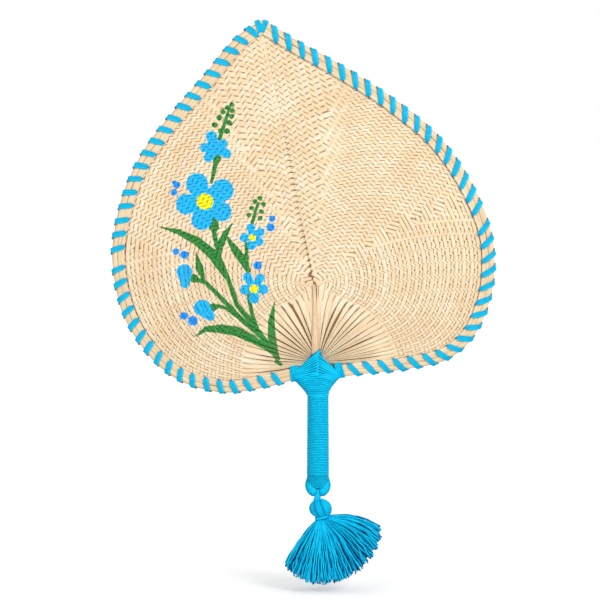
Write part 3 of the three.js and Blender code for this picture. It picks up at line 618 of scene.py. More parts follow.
@dataclass(frozen=True)
class LeafFinish:
    """Dry palm leaf: pale straw with lengthwise streaks, and painted shade along the strips' edges and in
    their hollows.
    """

    name: str = "plaited_leaf"
    light: Colour = rgb(255, 244, 218)
    middle: Colour = rgb(252, 231, 194)
    dark: Colour = rgb(224, 184, 134)
    # The colour of the painted shade in the hollows and in the corners where strips cross.
    hollow: Colour = rgb(122, 84, 48)
    streaks: float = 2.6
    streak_length: float = 14.0
    streak_strength: float = 0.5
    streak_depth: float = 0.12
    patch_scale: float = 34.0
    patch_strength: float = 0.3
    speck_scale: float = 420.0
    speck_strength: float = 0.25
    # These set the painted shade along the strips' edges and in the hollows where they dive under.
    edge_start: float = 0.74
    edge_strength: float = 0.36
    hollow_top: float = 0.2
    hollow_strength: float = 0.62
    hollow_shade_tint: float = 0.55
    hollow_shade: float = 0.25
    roughness: float = 0.56

    def build(self) -> Material:
        """Make the plain leaf material.

        Returns:
            The material.
        """
        surface = Surface(self.name)
        self.dress(surface)
        return surface.material

    def dress(self, surface: Surface) -> Socket:
        """Feed the leaf's colour, gloss and relief to a material.

        Args:
            surface: the material.

        Returns:
            The colour, for what is painted over it.
        """
        sizes = {"Streaks": self.streaks, "Length": self.streak_length, "Edge Start": self.edge_start,
                 "Hollow Top": self.hollow_top}
        streak, edge, hollow, tone = surface.add("ShaderNodeGroup", sizes, node_tree=grain_group()).outputs
        where = surface.place()
        patch = surface.fit(surface.noise(where, self.patch_scale, 3.0, 0.55), 0.36, 0.68)
        speck = surface.fit(surface.noise(where, self.speck_scale, 2.0, 0.6), 0.55, 0.8)
        # Painted shade where a strip dives under another: tinted darker below, then drawn towards the
        # hollow's shadow colour.
        deep = surface.times(hollow, self.hollow_strength)
        colour = surface.mix(surface.fit(tone, 0.0, 1.0), self.middle, self.light)
        # Streaks, patches and specks are the leaf's own colour; the edge and deep masks tint it darker as
        # painted shade.
        for mask, strength in ((surface.math("SUBTRACT", 1.0, streak), self.streak_strength),
                               (patch, self.patch_strength), (speck, self.speck_strength),
                               (edge, self.edge_strength), (deep, self.hollow_shade_tint)):
            colour = surface.tint(colour, self.dark, mask, strength)
        # Painted shade in the corners where a strip's edge dives under, drawn towards the hollow's shadow
        # colour.
        corner_shade = surface.times(surface.times(hollow, edge), self.hollow_strength)
        shaded = surface.math("ADD", surface.times(deep, self.hollow_shade), corner_shade, clamp=True)
        colour = surface.mix(shaded, colour, self.hollow)
        surface.give(base_color=colour, specular_ior_level=0.35)
        surface.gloss(streak, self.roughness + 0.12, self.roughness)
        surface.bump(streak, self.streak_depth, 0.6)
        return colour


@dataclass(frozen=True)
class PaintFinish:
    """The spray of flowers, painted with a brush on the plaited leaf's front."""

    foot: Pair
    greens: tuple[Stroke, ...]
    blues: tuple[Stroke, ...]
    dots: tuple[Stroke, ...]
    yellows: tuple[Stroke, ...]
    leaf_green: Colour = rgb(52, 156, 62)
    deep_green: Colour = rgb(14, 98, 36)
    petal: Colour = rgb(0, 205, 255)
    deep_petal: Colour = rgb(0, 166, 246)
    dot: Colour = rgb(0, 134, 250)
    centre: Colour = rgb(255, 242, 0)
    gap_strength: float = 0.35
    wobble: float = 1.5
    wobble_scale: float = 0.55
    bristle_scale: float = 0.7
    wet_roughness: float = 0.42

    def mask(self, surface: Surface, spot: Socket, strokes: Sequence[Stroke]) -> Socket:
        """Chain the strokes of one colour.

        Args:
            surface: the material.
            spot: the place from the spray's foot, in millimetres.
            strokes: the strokes.

        Returns:
            The place with the mask as its second number.
        """
        spot = surface.vector("MULTIPLY", spot, (1.0, 0.0, 1.0))
        for stroke in strokes:
            inputs = {"Place": spot, "From": (stroke.start[0], 0.0, stroke.start[1]),
                      "To": (stroke.end[0], 0.0, stroke.end[1]), "Start Width": stroke.start_width,
                      "End Width": stroke.end_width}
            spot = surface.add("ShaderNodeGroup", inputs, node_tree=stroke_group()).outputs[0]
        return spot

    def build(self, leaf: LeafFinish) -> Material:
        """Make the material of painted leaf.

        Args:
            leaf: the finish of the leaf beneath.

        Returns:
            The material.
        """
        surface = Surface(f"painted_{leaf.name}")
        colour = leaf.dress(surface)
        shifted = surface.vector("SUBTRACT", surface.place(), (self.foot[0] * MM, 0.0, self.foot[1] * MM))
        flat = surface.vector("MULTIPLY", shifted, (1 / MM, 0.0, 1 / MM))
        field = {"Vector": flat, "Scale": self.wobble_scale, "Detail": 2.0}
        ragged = surface.add("ShaderNodeTexNoise", field).outputs["Color"]
        shake = surface.vector("SUBTRACT", ragged, (0.5, 0.5, 0.5))
        spot = surface.vector("ADD", flat, surface.vector("MULTIPLY", shake, (self.wobble, 0.0, self.wobble)))
        bristle = surface.fit(surface.noise(flat, self.bristle_scale, 3.0, 0.6), 0.35, 0.65)
        gap = surface.fit(surface.attribute("lift"), 0.0, -0.5)
        cover = surface.math("SUBTRACT", 1.0, surface.times(gap, self.gap_strength))
        wet: Any = 0.0
        for strokes, deep, light in ((self.greens, self.deep_green, self.leaf_green),
                                     (self.blues, self.deep_petal, self.petal),
                                     (self.dots, self.deep_petal, self.dot),
                                     (self.yellows, self.centre, self.centre)):
            spot = self.mask(surface, spot, strokes)
            mask = surface.parts(spot)[1]
            colour = surface.mix(surface.times(mask, cover), colour, surface.mix(bristle, deep, light))
            wet = surface.math("MAXIMUM", wet, mask)
        surface.give(base_color=colour)
        surface.gloss(wet, leaf.roughness + 0.06, self.wet_roughness)
        return surface.material


@dataclass(frozen=True)
class StalkFinish:
    """Bare palm stalk: fine lengthwise fibres on a tan stick."""

    name: str = "palm_stalk"
    light: Colour = rgb(251, 230, 192)
    dark: Colour = rgb(202, 158, 108)
    fibre: tuple[float, float, float] = (1500.0, 1500.0, 60.0)
    fibre_strength: float = 0.75
    fibre_depth: float = 0.15
    patch_scale: float = 60.0
    patch_strength: float = 0.25
    roughness: float = 0.6

    def build(self) -> Material:
        """Make the stalk's material.

        Returns:
            The material, which reads the object's own coordinates.
        """
        surface = Surface(self.name)
        where = surface.place()
        spot = surface.add("ShaderNodeMapping", {"Vector": where, "Scale": self.fibre}).outputs[0]
        fibre = surface.fit(surface.noise(spot, 1.0, 4.0, 0.6), 0.35, 0.68)
        patch = surface.fit(surface.noise(where, self.patch_scale), 0.35, 0.7)
        colour = surface.tint(self.light, self.dark, fibre, self.fibre_strength)
        surface.give(base_color=surface.tint(colour, self.dark, patch, self.patch_strength))
        surface.gloss(fibre, self.roughness, self.roughness + 0.15)
        surface.bump(fibre, self.fibre_depth, 0.7)
        return surface.material


@dataclass(frozen=True)
class RibbonFinish:
    """Flat woven ribbon, folded lengthwise, darker along its edges, with painted shade in its creases and
    where it dips into its holes, and a soft sheen.
    """

    name: str = "lacing_ribbon"
    light: Colour = rgb(0, 198, 240)
    dark: Colour = rgb(0, 168, 216)
    # The colour of the darker edges, and of the painted shade in the creases and holes.
    edge: Colour = rgb(0, 118, 176)
    rib_pitch: float = 0.35
    rib_height: float = 0.12
    folds: Pair = (-0.28, 0.34)
    fold_width: float = 0.16
    fold_drift: float = 0.3
    relief: float = 0.16
    shade_strength: float = 0.45
    crease_shade_strength: float = 0.55
    edge_strength: float = 0.75
    roughness: Pair = (0.42, 0.58)

    def build(self) -> Material:
        """Make the ribbon's material.

        Returns:
            The material, which reads how far across and along the ribbon a point is.
        """
        surface = Surface(self.name)
        across, tone = surface.attribute("across"), surface.attribute("tone")
        along = surface.times(surface.attribute("along"), 1 / MM)
        rib = surface.math("SINE", surface.times(along, 2 * math.pi / self.rib_pitch))
        drift = surface.times(surface.noise(surface.xyz(along, tone, 0.0), 0.12), self.fold_drift)
        # The folds are flat: the creases get painted shade as well as a bump.
        crease_and_shade: Any = 0.0
        for fold in self.folds:
            off = surface.math("SUBTRACT", across, fold - self.fold_drift / 2)
            away = surface.math("ABSOLUTE", surface.math("ADD", off, drift))
            crease_and_shade = surface.math("MAXIMUM", crease_and_shade, surface.fit(away, self.fold_width, 0.0))
        shade = surface.fit(surface.noise(surface.xyz(along, across, tone), 0.35), 0.3, 0.7)
        # Darker along both edges, and painted shade where the ribbon's low lift marks it dipping into a hole.
        edge = surface.math("MAXIMUM", surface.fit(surface.math("ABSOLUTE", across), 0.8, 1.0),
                            surface.fit(surface.attribute("lift"), 0.9, 0.0))
        colour = surface.tint(self.light, self.dark, shade, self.shade_strength)
        colour = surface.tint(colour, self.edge, crease_and_shade, self.crease_shade_strength)
        colour = surface.tint(colour, self.edge, edge, self.edge_strength)
        surface.give(base_color=colour, specular_ior_level=0.15)
        surface.gloss(shade, *self.roughness)
        surface.bump(surface.math("SUBTRACT", surface.times(rib, self.rib_height), crease_and_shade), self.relief, 0.7)
        return surface.material


@dataclass(frozen=True)
class ThreadFinish:
    """Twisted thread: plies, a slow change of tone along it, and painted shade in the ply grooves, along its
    edges and where it lies low.
    """

    name: str
    light: Colour
    dark: Colour
    shadow: Colour
    ply_pitch: float = 0.9
    ply_depth: float = 0.06
    patch: float = 9.0
    # How strongly the painted shade darkens the thread's edges.
    gap: float = 1.0
    shade_strength: float = 0.8
    ply_shade_strength: float = 0.25
    sunk_shade_strength: float = 0.9
    roughness: Pair = (0.62, 0.5)

    def build(self) -> Material:
        """Make the thread's material.

        Returns:
            The material, which reads how far across and along the thread a point is.
        """
        surface = Surface(self.name)
        sizes = {"Ply Pitch": self.ply_pitch, "Patch": self.patch}
        ply, shade = surface.add("ShaderNodeGroup", sizes, node_tree=twist_group()).outputs
        # Painted shade: along the thread's edges, where it meets its neighbours, and where its lift is low.
        edge = surface.fit(surface.math("ABSOLUTE", surface.attribute("across")), 0.55, 1.0)
        sunk = surface.fit(surface.attribute("lift"), 0.6, -1.0)
        colour = surface.tint(self.light, self.dark, shade, self.shade_strength)
        # Painted shade in the grooves between plies.
        colour = surface.tint(colour, self.dark, surface.math("SUBTRACT", 1.0, ply), self.ply_shade_strength)
        colour = surface.tint(colour, self.shadow, edge, self.gap)
        colour = surface.tint(colour, self.shadow, sunk, self.sunk_shade_strength)
        surface.give(base_color=colour, specular_ior_level=0.12)
        surface.gloss(ply, *self.roughness)
        surface.bump(ply, self.ply_depth, 0.7)
        return surface.material


class Rail:
    """One half of the rim's outer edge, from the neck to the tip, measured along its length."""

    STATIONS = 48

    def __init__(self, turn: int, points: Sequence[Pair]) -> None:
        """Lay a smooth curve through the edge's points.

        Args:
            turn: -1 for the left half, 1 for the right.
            points: sideways and up, in millimetres, from the neck to the tip.
        """
        self.turn = turn
        knots = np.array(points, dtype=float)
        knots = np.vstack([2 * knots[0] - knots[1], knots, 2 * knots[-1] - knots[-2]])
        fine = [self.span(knots[i - 1:i + 3]) for i in range(1, len(knots) - 2)]
        line = np.vstack(fine + [knots[-2:-1]])
        self.points = np.column_stack([line[:, 0], np.zeros(len(line)), line[:, 1]])
        steps = np.linalg.norm(np.diff(self.points, axis=0), axis=1)
        self.lengths = np.concatenate([[0.0], np.cumsum(steps)])
        self.length = float(self.lengths[-1])
        self.along = tangents(self.points)

    @classmethod
    def span(cls, knots: Array) -> Array:
        """Lay the curve between the middle two of four knots.

        Args:
            knots: the four knots.

        Returns:
            The curve's points, from the second knot up to the third.
        """
        gap = np.linalg.norm(np.diff(knots, axis=0), axis=1) ** 0.5
        first = ((knots[1] - knots[0]) / gap[0] - (knots[2] - knots[0]) / (gap[0] + gap[1])
                 + (knots[2] - knots[1]) / gap[1]) * gap[1]
        last = ((knots[2] - knots[1]) / gap[1] - (knots[3] - knots[1]) / (gap[1] + gap[2])
                + (knots[3] - knots[2]) / gap[2]) * gap[1]
        share = (np.arange(cls.STATIONS) / cls.STATIONS)[:, None]
        rise = 2 * knots[1] - 2 * knots[2] + first + last
        bend = -3 * knots[1] + 3 * knots[2] - 2 * first - last
        return knots[1] + share * (first + share * (bend + share * rise))

    def at(self, distance: Any) -> tuple[Array, Array, Array]:
        """Find spots on the edge.

        Args:
            distance: how far each is from the neck, in millimetres.

        Returns:
            The places, the directions inward and the directions along.
        """
        distance = np.atleast_1d(np.asarray(distance, dtype=float))
        spot, along = (np.column_stack([np.interp(distance, self.lengths, table[:, i]) for i in range(3)])
                       for table in (self.points, self.along))
        along = unit(along)
        beyond = np.minimum(distance, 0.0) + np.maximum(distance - self.length, 0.0)
        inward = np.column_stack([-self.turn * along[:, 2], np.zeros(len(along)), self.turn * along[:, 0]])
        return spot + along * beyond[:, None], inward, along

    def path(self, distance: Array, depth: Any, back: Any) -> Array:
        """Lay a path beside the edge.

        Args:
            distance: how far each point is from the neck.
            depth: how far inside the outer edge it is.
            back: how far behind the blade's middle plane it is.

        Returns:
            The path's places.
        """
        spot, inward, _ = self.at(distance)
        depths, backs = (np.broadcast_to(np.asarray(value, dtype=float), len(spot))[:, None]
                         for value in (depth, back))
        return spot + inward * depths + BACK * backs


@dataclass
class BladeOutline:
    """The outline of the blade, as shares of its size from the point that the ribs spread from."""

    width: float = 287.0
    height: float = 279.0
    neck_width: float = 27.0
    heart: Pair = (0.0, 54.0)
    tip_share: Pair = (-0.146, 0.917)
    left_neck_share: float = -0.046
    right_neck_share: float = -0.042
    left_shares: tuple[Pair, ...] = (
        (-0.131, -0.067), (-0.243, -0.083), (-0.361, -0.052), (-0.449, 0.024), (-0.512, 0.137),
        (-0.538, 0.282), (-0.524, 0.39), (-0.481, 0.519), (-0.408, 0.634), (-0.303, 0.761), (-0.204, 0.879))
    right_shares: tuple[Pair, ...] = (
        (0.11, -0.034), (0.227, -0.021), (0.34, 0.008), (0.41, 0.073), (0.449, 0.167), (0.461, 0.269),
        (0.449, 0.358), (0.405, 0.47), (0.329, 0.589), (0.227, 0.683), (0.099, 0.772), (-0.047, 0.857))

    def spot(self, share: Pair) -> Pair:
        """Turn a share into a place, in millimetres."""
        return self.heart[0] + share[0] * self.width, self.heart[1] + share[1] * self.height

    def rail(self, turn: int) -> Rail:
        """Lay one half of the edge.

        Args:
            turn: -1 for the left half, 1 for the right.

        Returns:
            The half, from the neck to the tip.
        """
        neck_share = self.left_neck_share if turn < 0 else self.right_neck_share
        shares = self.left_shares if turn < 0 else self.right_shares
        neck = (turn * self.neck_width / 2, self.heart[1] + neck_share * self.height)
        return Rail(turn, [neck, *map(self.spot, shares), self.spot(self.tip_share)])


@dataclass
class PlaitedLeaf:
    """The leaf's strips: each is a rib of the heart that bends into its half, runs up to the middle line
    and goes on across the other half. Shorter strips are laid in where the cells would grow too long."""

    outline: BladeOutline
    rails: dict[int, Rail]
    strips: int = 44
    rim_depth: float = 5.0
    plait_foot: Pair = (-2.25, 111.75)
    centre_share: float = 0.19
    middle_reach: float = 46.0
    side_reach: float = 57.0
    latest_start: float = 0.6
    cross_bend: float = 0.55
    half_strips_from: float = 0.72
    half_strips_blend: float = 0.08
    quarter_strips_from: float = 0.32
    quarter_strips_blend: float = 0.06
    plain_from: float = 0.34
    bar: float = 1.2
    bar_blend: Pair = (0.1, 0.3)
    lift: float = 0.34
    strip_thickness: float = 0.13
    width_limits: Pair = (0.5, 5.2)
    width_play: Pair = (0.94, 1.05)
    overlap: float = 0.99
    strip_probe: float = 0.4
    cross_probe: float = 0.1
    hub_reach: float = 3.0
    rib_steps: int = 11
    rib_bend: float = 0.4
    rib_lean: float = 0.35
    rib_bow: float = 0.5
    rib_lift: float = 0.8
    front_rib_lifts: Pair = (0.45, 1.0)
    back_rib_lifts: Pair = (0.5, 1.0)
    rib_widths: Pair = (1.25, 1.95)
    rib_end: float = 1.8
    middle_ribs: int = 8
    middle_rib_extra: float = 0.9
    foot_widths: tuple[float, float, float] = (1.8, 1.7, 1.25)
    fold_spots: Pair = (-0.27, 0.24)
    fold_play: float = 0.06
    fold_width: float = 0.42
    fold_widths: Pair = (0.8, 1.1)
    fold_lift: float = 0.16
    fold_tones: Pair = (-0.4, 1.0)
    lead_in: int = 6
    shade_thickness: float = 0.12
    shade_grid: tuple[int, int] = (13, 72)
    seed: int = 11
    samples: int = 1200

    def __post_init__(self) -> None:
        """Find where the plait starts on strips all over each half."""
        self.heart = np.array([self.outline.heart[0], 0.0, self.outline.heart[1]])
        self.shares = np.linspace(0.0, 1.0, 45)
        self.starts = {turn: np.array([self.plait_start(turn, share) for share in self.shares])
                       for turn in self.rails}

    def chart(self, turn: int, share: Any, along: Any) -> Array:
        """Give places in one half of the leaf.

        Args:
            turn: -1 for the left half, 1 for the right.
            share: how far out from the middle line to the rim, 0 to 1.
            along: how far along from the neck to the tip, 0 to 1.

        Returns:
            One row for each place: sideways, depth (zero) and up.
        """
        share, along = np.broadcast_arrays(np.asarray(share, dtype=float), np.asarray(along, dtype=float))
        rail = self.rails[turn]
        outer = rail.path(along.ravel() * rail.length, self.rim_depth, 0.0)
        foot = np.array([self.plait_foot[0], 0.0, self.plait_foot[1]])
        middle = self.heart + smoothstep(along.ravel() / self.centre_share)[:, None] * (foot - self.heart)
        return middle + share.ravel()[:, None] * (outer - middle)

    def plait_start(self, turn: int, share: float) -> float:
        """Find where the plait starts on a strip.

        Args:
            turn: -1 for the left half, 1 for the right.
            share: how far out from the middle line the strip is, 0 to 1.

        Returns:
            How far along the strip the plait starts, 0 to 1.
        """
        reach = self.middle_reach + (self.side_reach - self.middle_reach) * share
        along = np.linspace(0.0, self.latest_start, self.samples)
        away = np.linalg.norm(self.chart(turn, share, along) - self.heart, axis=1)
        return float(along[int(np.argmax(away >= reach))])

    def spots(self, turn: int, cross: Any, strip: Any) -> Array:
        """Find where cross lines meet strips; both are counted up the middle line.

        Args:
            turn: -1 for the left half, 1 for the right.
            cross: the cross lines' numbers.
            strip: the strips' numbers.

        Returns:
            The places.
        """
        cross, strip = np.broadcast_arrays(np.asarray(cross, dtype=float), np.asarray(strip, dtype=float))
        ratio = np.clip(cross / np.maximum(strip, 1e-6), 0.0, 1.0)
        part = ratio * (1 + self.cross_bend * (1 - ratio))
        share = np.clip(strip / self.strips, 0.0, 1.0)
        start = np.interp(share, self.shares, self.starts[turn])
        return self.chart(turn, share, start + part * (1 - start))

    def present(self, quarter: int, strip: int) -> bool:
        """Tell whether a cross line is there on a strip.

        Args:
            quarter: the cross line's number, in quarters.
            strip: the strip's number.

        Returns:
            Whether it is there: whole lines reach the middle line, halves and quarters end before it.
        """
        ratio = quarter / 4 / strip
        if quarter % 4 == 0:
            return ratio <= 1
        return ratio < (self.half_strips_from if quarter % 2 == 0 else self.quarter_strips_from)

    def step(self, ratio: Array) -> Array:
        """Give the step between cross lines: whole, then half, then a quarter, as the cells grow."""
        half = 1 - 0.5 * smoothstep((self.half_strips_from - ratio) / self.half_strips_blend)
        return half * (1 - 0.5 * smoothstep((self.quarter_strips_from - ratio) / self.quarter_strips_blend))

    def over(self, turn: int, strip: int, quarter: int) -> bool:
        """Tell whether a strip lies over a cross line. Up the leaf each lies over one and under one; low
        at the sides every other strip lies over three and under one, as a long bar.

        Args:
            turn: -1 for the left half, 1 for the right.
            strip: the strip's number.
            quarter: the cross line's number, in quarters.

        Returns:
            Whether the strip lies over it.
        """
        ratio = quarter / 4 / strip
        coarse = 2 if ratio > self.quarter_strips_from else 1
        count = quarter // (4 if ratio > self.half_strips_from else coarse)
        if ratio > self.plain_from:
            return (count + strip) % 2 == (0 if turn > 0 else 1)
        return count % 2 == 0 if strip % 2 else (count + strip) % 4 != 0

    def in_front(self, strip: int) -> bool:
        """Tell whether a strip's rib lies in front of its neighbours."""
        return strip % 2 == 0 or strip == 1

    def rib(self, strip: int, foot: Array, way: Array,
            rng: Random) -> tuple[Array, Array, Array]:
        """Lay the unwoven foot of a strip, from the heart to the plait.

        Args:
            strip: the strip's number, from the middle line.
            foot: where the plait starts.
            way: the strip's direction there.
            rng: the source of its small differences.

        Returns:
            The rib's places, how far each stands out, and the scale of its width.
        """
        reach = float(np.linalg.norm(foot - self.heart))
        lean = unit(way * self.rib_lean + (foot - self.heart) / reach * (1 - self.rib_lean))
        control = foot - lean * reach * self.rib_bend
        start = self.heart + unit(control - self.heart) * self.hub_reach
        share = np.linspace(0.0, 1.0, self.rib_steps, endpoint=False)
        part = share[:, None]
        places = (1 - part) ** 2 * start + 2 * part * (1 - part) * control + part ** 2 * foot
        bow = np.sin(share * math.pi) * rng.normal(0.0, self.rib_bow)
        places = places + np.cross(tangents(places), FRONT) * bow[:, None]
        front = self.in_front(strip)
        side = rng.uniform(*self.front_rib_lifts) if front else -rng.uniform(*self.back_rib_lifts)
        rise = smoothstep(share / 0.3) * (1 - 0.6 * smoothstep((share - 0.75) / 0.25))
        middle = rng.uniform(*self.rib_widths)
        width = middle + (self.rib_end - middle) * smoothstep((share - 0.7) / 0.3)
        width = width * (1 + self.middle_rib_extra * max(1 - strip / self.middle_ribs, 0.0))
        return places, side * (0.2 + 0.8 * rise) * self.rib_lift, width

    def fold(self, paths: Paths, ribs: Array, rib_depth: Array, rib_width: Array,
             rng: Random) -> None:
        """Lay the narrow folds that a rib shows on its outer side.

        Args:
            paths: the piece that the folds join.
            ribs: the rib's places.
            rib_depth: how far the rib stands out of the middle layer.
            rib_width: its width.
            rng: the source of the small differences.
        """
        across = np.cross(tangents(ribs), FRONT)
        outside = np.sign(rib_depth[0])
        rise = outside * self.fold_lift * np.sin(np.linspace(0.15, 1.0, len(ribs)) * math.pi) ** 0.5
        for spot in self.fold_spots:
            shift = (spot + rng.uniform(-self.fold_play, self.fold_play)) * rib_width
            places = ribs + across * shift[:, None] + FRONT * (rib_depth + rise)[:, None]
            # Folds on a back rib get a low lift, which gives them the leaf's painted hollow shade.
            paths.add(places, across, rib_width * self.fold_width * rng.uniform(*self.fold_widths),
                      rng.uniform(*self.fold_tones), 0.15 if outside > 0 else -0.7)

    def half_strip(self, turn: int, strip: int) -> tuple[Array, Array, Array]:
        """Lay a strip in its own half, from the plait's start on.

        Args:
            turn: -1 for the left half, 1 for the right.
            strip: the strip's number.

        Returns:
            Its places, lift and width.
        """
        quarters = [q for q in range(1, 4 * strip + 1) if self.present(q, strip)]
        fronts = [self.in_front(strip), *(self.over(turn, strip, q) for q in quarters)]
        marks, lift = self.with_middles(np.array([0, *quarters]) / 4, np.where(fronts, 1.0, -1.0))
        places = self.spots(turn, marks, strip)
        low = smoothstep((self.plain_from + self.bar_blend[0] - marks / strip) / self.bar_blend[1])
        bars = 1 + (self.bar - 1) * (1 if strip % 2 == 0 else -1) * low
        after, before = strip + self.strip_probe, strip - self.strip_probe
        near = self.spots(turn, marks * after / strip, min(after, self.strips))
        far = self.spots(turn, marks * before / strip, before)
        return places, lift, self.width((near - far) / (min(after, self.strips) - before), places) * bars

    def cross_run(self, turn: int, cross: float, first: int) -> tuple[Array, Array, Array]:
        """Lay a cross line in one half, from a strip out to the rim.

        Args:
            turn: -1 for the left half, 1 for the right.
            cross: the cross line's number.
            first: the number of the first strip that it meets.

        Returns:
            Its places, lift and width.
        """
        strips = np.arange(first, self.strips + 1)
        quarter = int(round(cross * 4))
        lifts = [-1.0 if self.over(turn, int(s), quarter) else 1.0 for s in strips]
        lead = max(first - 1.0, cross + self.cross_probe)
        marks, lift = self.with_middles(np.append(lead, strips.astype(float)), np.append(-1.0, lifts))
        places = self.spots(turn, cross, marks)
        spread = (self.spots(turn, cross + self.cross_probe, marks)
                  - self.spots(turn, cross - self.cross_probe, marks)) / (2 * self.cross_probe)
        spread[marks < cross + self.cross_probe * 1.1] *= 2
        return places, lift, self.width(spread, places) * self.step(cross / marks)

    def width(self, spread: Array, places: Array) -> Array:
        """Give a strip's width from the step to its neighbour, measured square to the strip."""
        way = tangents(places)
        return np.abs(spread[:, 0] * way[:, 2] - spread[:, 2] * way[:, 0])

    def with_middles(self, marks: Array, lift: Array) -> tuple[Array, Array]:
        """Put a mark half way between every two.

        Args:
            marks: the marks along a strip.
            lift: the lift at each.

        Returns:
            All the marks, and their lifts with the mean of two between them.
        """
        both = []
        for values in (marks, lift):
            filled = np.empty(2 * len(values) - 1)
            filled[::2], filled[1::2] = values, (values[1:] + values[:-1]) / 2
            both.append(filled)
        return both[0], both[1]

    def lay(self, paths: Paths, places: Array, lift: Array, depth: Array, width: Array,
            rng: Random) -> None:
        """Add one strip to a piece.

        Args:
            paths: the piece.
            places: the strip's places.
            lift: how far towards the eye each lies, -1 to 1.
            depth: how far towards the front each is moved, in millimetres.
            width: the strip's width at each.
            rng: the source of its small differences.
        """
        whole = places + FRONT * depth[:, None]
        side = np.cross(tangents(whole), FRONT)
        paths.add(whole, side, np.clip(width, *self.width_limits) * rng.uniform(*self.width_play),
                  rng.uniform(), lift)

    def ribbed_paths(self, turn: int) -> Paths:
        """Lay the strips that run out of the heart in one half, and on across the other half.

        Args:
            turn: -1 for the left half, 1 for the right.

        Returns:
            The strips' paths.
        """
        rng = np.random.default_rng(self.seed + turn)
        paths = Paths()
        for strip in range(1, self.strips + 1):
            places, lift, width = self.half_strip(turn, strip)
            lead_in = min(self.lead_in, len(places) - 1)
            ribs, rib_depth, scale = self.rib(strip, places[0], unit(places[lead_in] - places[0]), rng)
            reach = np.linalg.norm(ribs - self.heart, axis=1)
            rib_width = width[0] * scale * np.clip((reach / reach[-1]) ** 1.1, 0.12, 1.0)
            self.fold(paths, ribs, rib_depth, rib_width, rng)
            rise: Any = 0.0
            if self.in_front(strip):
                width[:3] *= self.foot_widths
                rise = smoothstep((np.linspace(0, 1, len(ribs)) - 0.7) / 0.3)
            # A rib's low lift, behind and near the heart, gives it the leaf's painted hollow shade, so the
            # valleys between ribs read dark.
            runs = [(ribs, np.full(len(ribs), -0.2) + 1.2 * rise, rib_depth, rib_width),
                    (places, lift, lift * self.lift, width * self.overlap)]
            if strip < self.strips - 1:
                on, on_lift, on_width = self.cross_run(-turn, float(strip), strip + 1)
                runs.append((on, on_lift, on_lift * self.lift, on_width * self.overlap))
            self.lay(paths, *(np.concatenate(parts) for parts in zip(*runs)), rng)
        return paths

    def laid_in_paths(self, turn: int) -> Paths:
        """Lay the shorter strips that are laid in across one half, out to the rim.

        Args:
            turn: -1 for the left half, 1 for the right.

        Returns:
            The strips' paths.
        """
        rng = np.random.default_rng(self.seed + 5 + turn)
        paths = Paths()
        for quarter in (q for q in range(1, 4 * self.strips) if q % 4):
            there = [s for s in range(1, self.strips + 1) if self.present(quarter, s)]
            if len(there) > 2:
                places, lift, width = self.cross_run(turn, quarter / 4, there[0])
                self.lay(paths, places, lift, lift * self.lift, width * self.overlap, rng)
        return paths

    def build(self, finish: Material, paint: Material, region: Region) -> list[Piece]:
        """Make the leaf's strips and paint their fronts.

        Args:
            finish: the plain leaf's material.
            paint: the painted leaf's material.
            region: the painted part.

        Returns:
            For each half the strips from the heart, and the shorter ones.
        """
        pieces = []
        for turn, label in SIDES:
            kinds = {"leaf_strips": self.ribbed_paths(turn), "inlaid_strips": self.laid_in_paths(turn)}
            for kind, paths in kinds.items():
                piece = paths.sweep(f"{kind}_{label}", Section.LENS, 1.0, self.strip_thickness, finish)
                self.paint(piece, paint, region)
                pieces.append(piece)
        return pieces

    def shade(self, finish: Material) -> Piece:
        """Make a thin dark sheet in the blade's middle plane, a painted shade that shows dark through the
        plait's holes.

        Args:
            finish: its material.

        Returns:
            The layer.
        """
        across, along = (np.linspace(0.0, 1.0, count) for count in self.shade_grid)
        shares = np.concatenate([-across[:0:-1], across])
        grid = np.stack([self.chart(-1 if s < 0 else 1, abs(s), along * 0.998) for s in shares])
        return closed_sheet("leaf_inner_layer", grid, self.shade_thickness, finish)

    def paint(self, piece: Piece, paint: Material, region: Region) -> None:
        """Give the faces at the front, inside a region, the painted finish.

        Args:
            piece: the strips.
            paint: the painted leaf's material.
            region: the painted part.
        """
        mesh = piece.data
        values = {name: np.empty(len(mesh.polygons) * 3) for name in ("center", "normal")}
        for name, table in values.items():
            mesh.polygons.foreach_get(name, table)
        across, _, up = values["center"].reshape(-1, 3).T / MM
        left, right, low, high = region
        inside = (across > left) & (across < right) & (up > low) & (up < high)
        inside &= values["normal"][1::3] < -0.05
        if inside.any():
            mesh.materials.append(paint)
            mesh.polygons.foreach_set("material_index", inside.astype(np.int32))


def closed_sheet(name: str, grid: Array, thickness: float, finish: Material) -> Piece:
    """Make a thin closed sheet from a grid of places in the blade's plane.

    Args:
        name: the piece's name.
        grid: columns from left to right, of places from the foot to the top.
        thickness: the sheet's thickness, in millimetres.
        finish: its material.

    Returns:
        The piece.
    """
    flat = grid.reshape(-1, 3)
    half = BACK * thickness / 2
    number = np.arange(len(flat)).reshape(grid.shape[:2])
    corners = [number[:-1, :-1], number[1:, :-1], number[1:, 1:], number[:-1, 1:]]
    front = np.stack(corners, axis=-1).reshape(-1, 4)
    both = np.hstack([front, front[:, ::-1] + len(flat)]).reshape(-1, 4)
    edge = np.concatenate([number[:-1, 0], number[-1, :-1], number[:0:-1, -1], number[0, :0:-1]])
    after = np.roll(edge, -1)
    sides = np.column_stack([edge, edge + len(flat), after + len(flat), after])
    mesh = bpy.data.meshes.new(name)
    points = np.vstack([flat - half, flat + half]) * MM
    mesh.from_pydata(points.tolist(), [], np.vstack([both, sides]).tolist())
    mesh.materials.append(finish)
    merged = bmesh.new()
    merged.from_mesh(mesh)
    bmesh.ops.remove_doubles(merged, verts=merged.verts, dist=MM * 0.01)
    bmesh.ops.recalc_face_normals(merged, faces=merged.faces)
    merged.to_mesh(mesh)
    merged.free()
    return new_object(name, mesh)


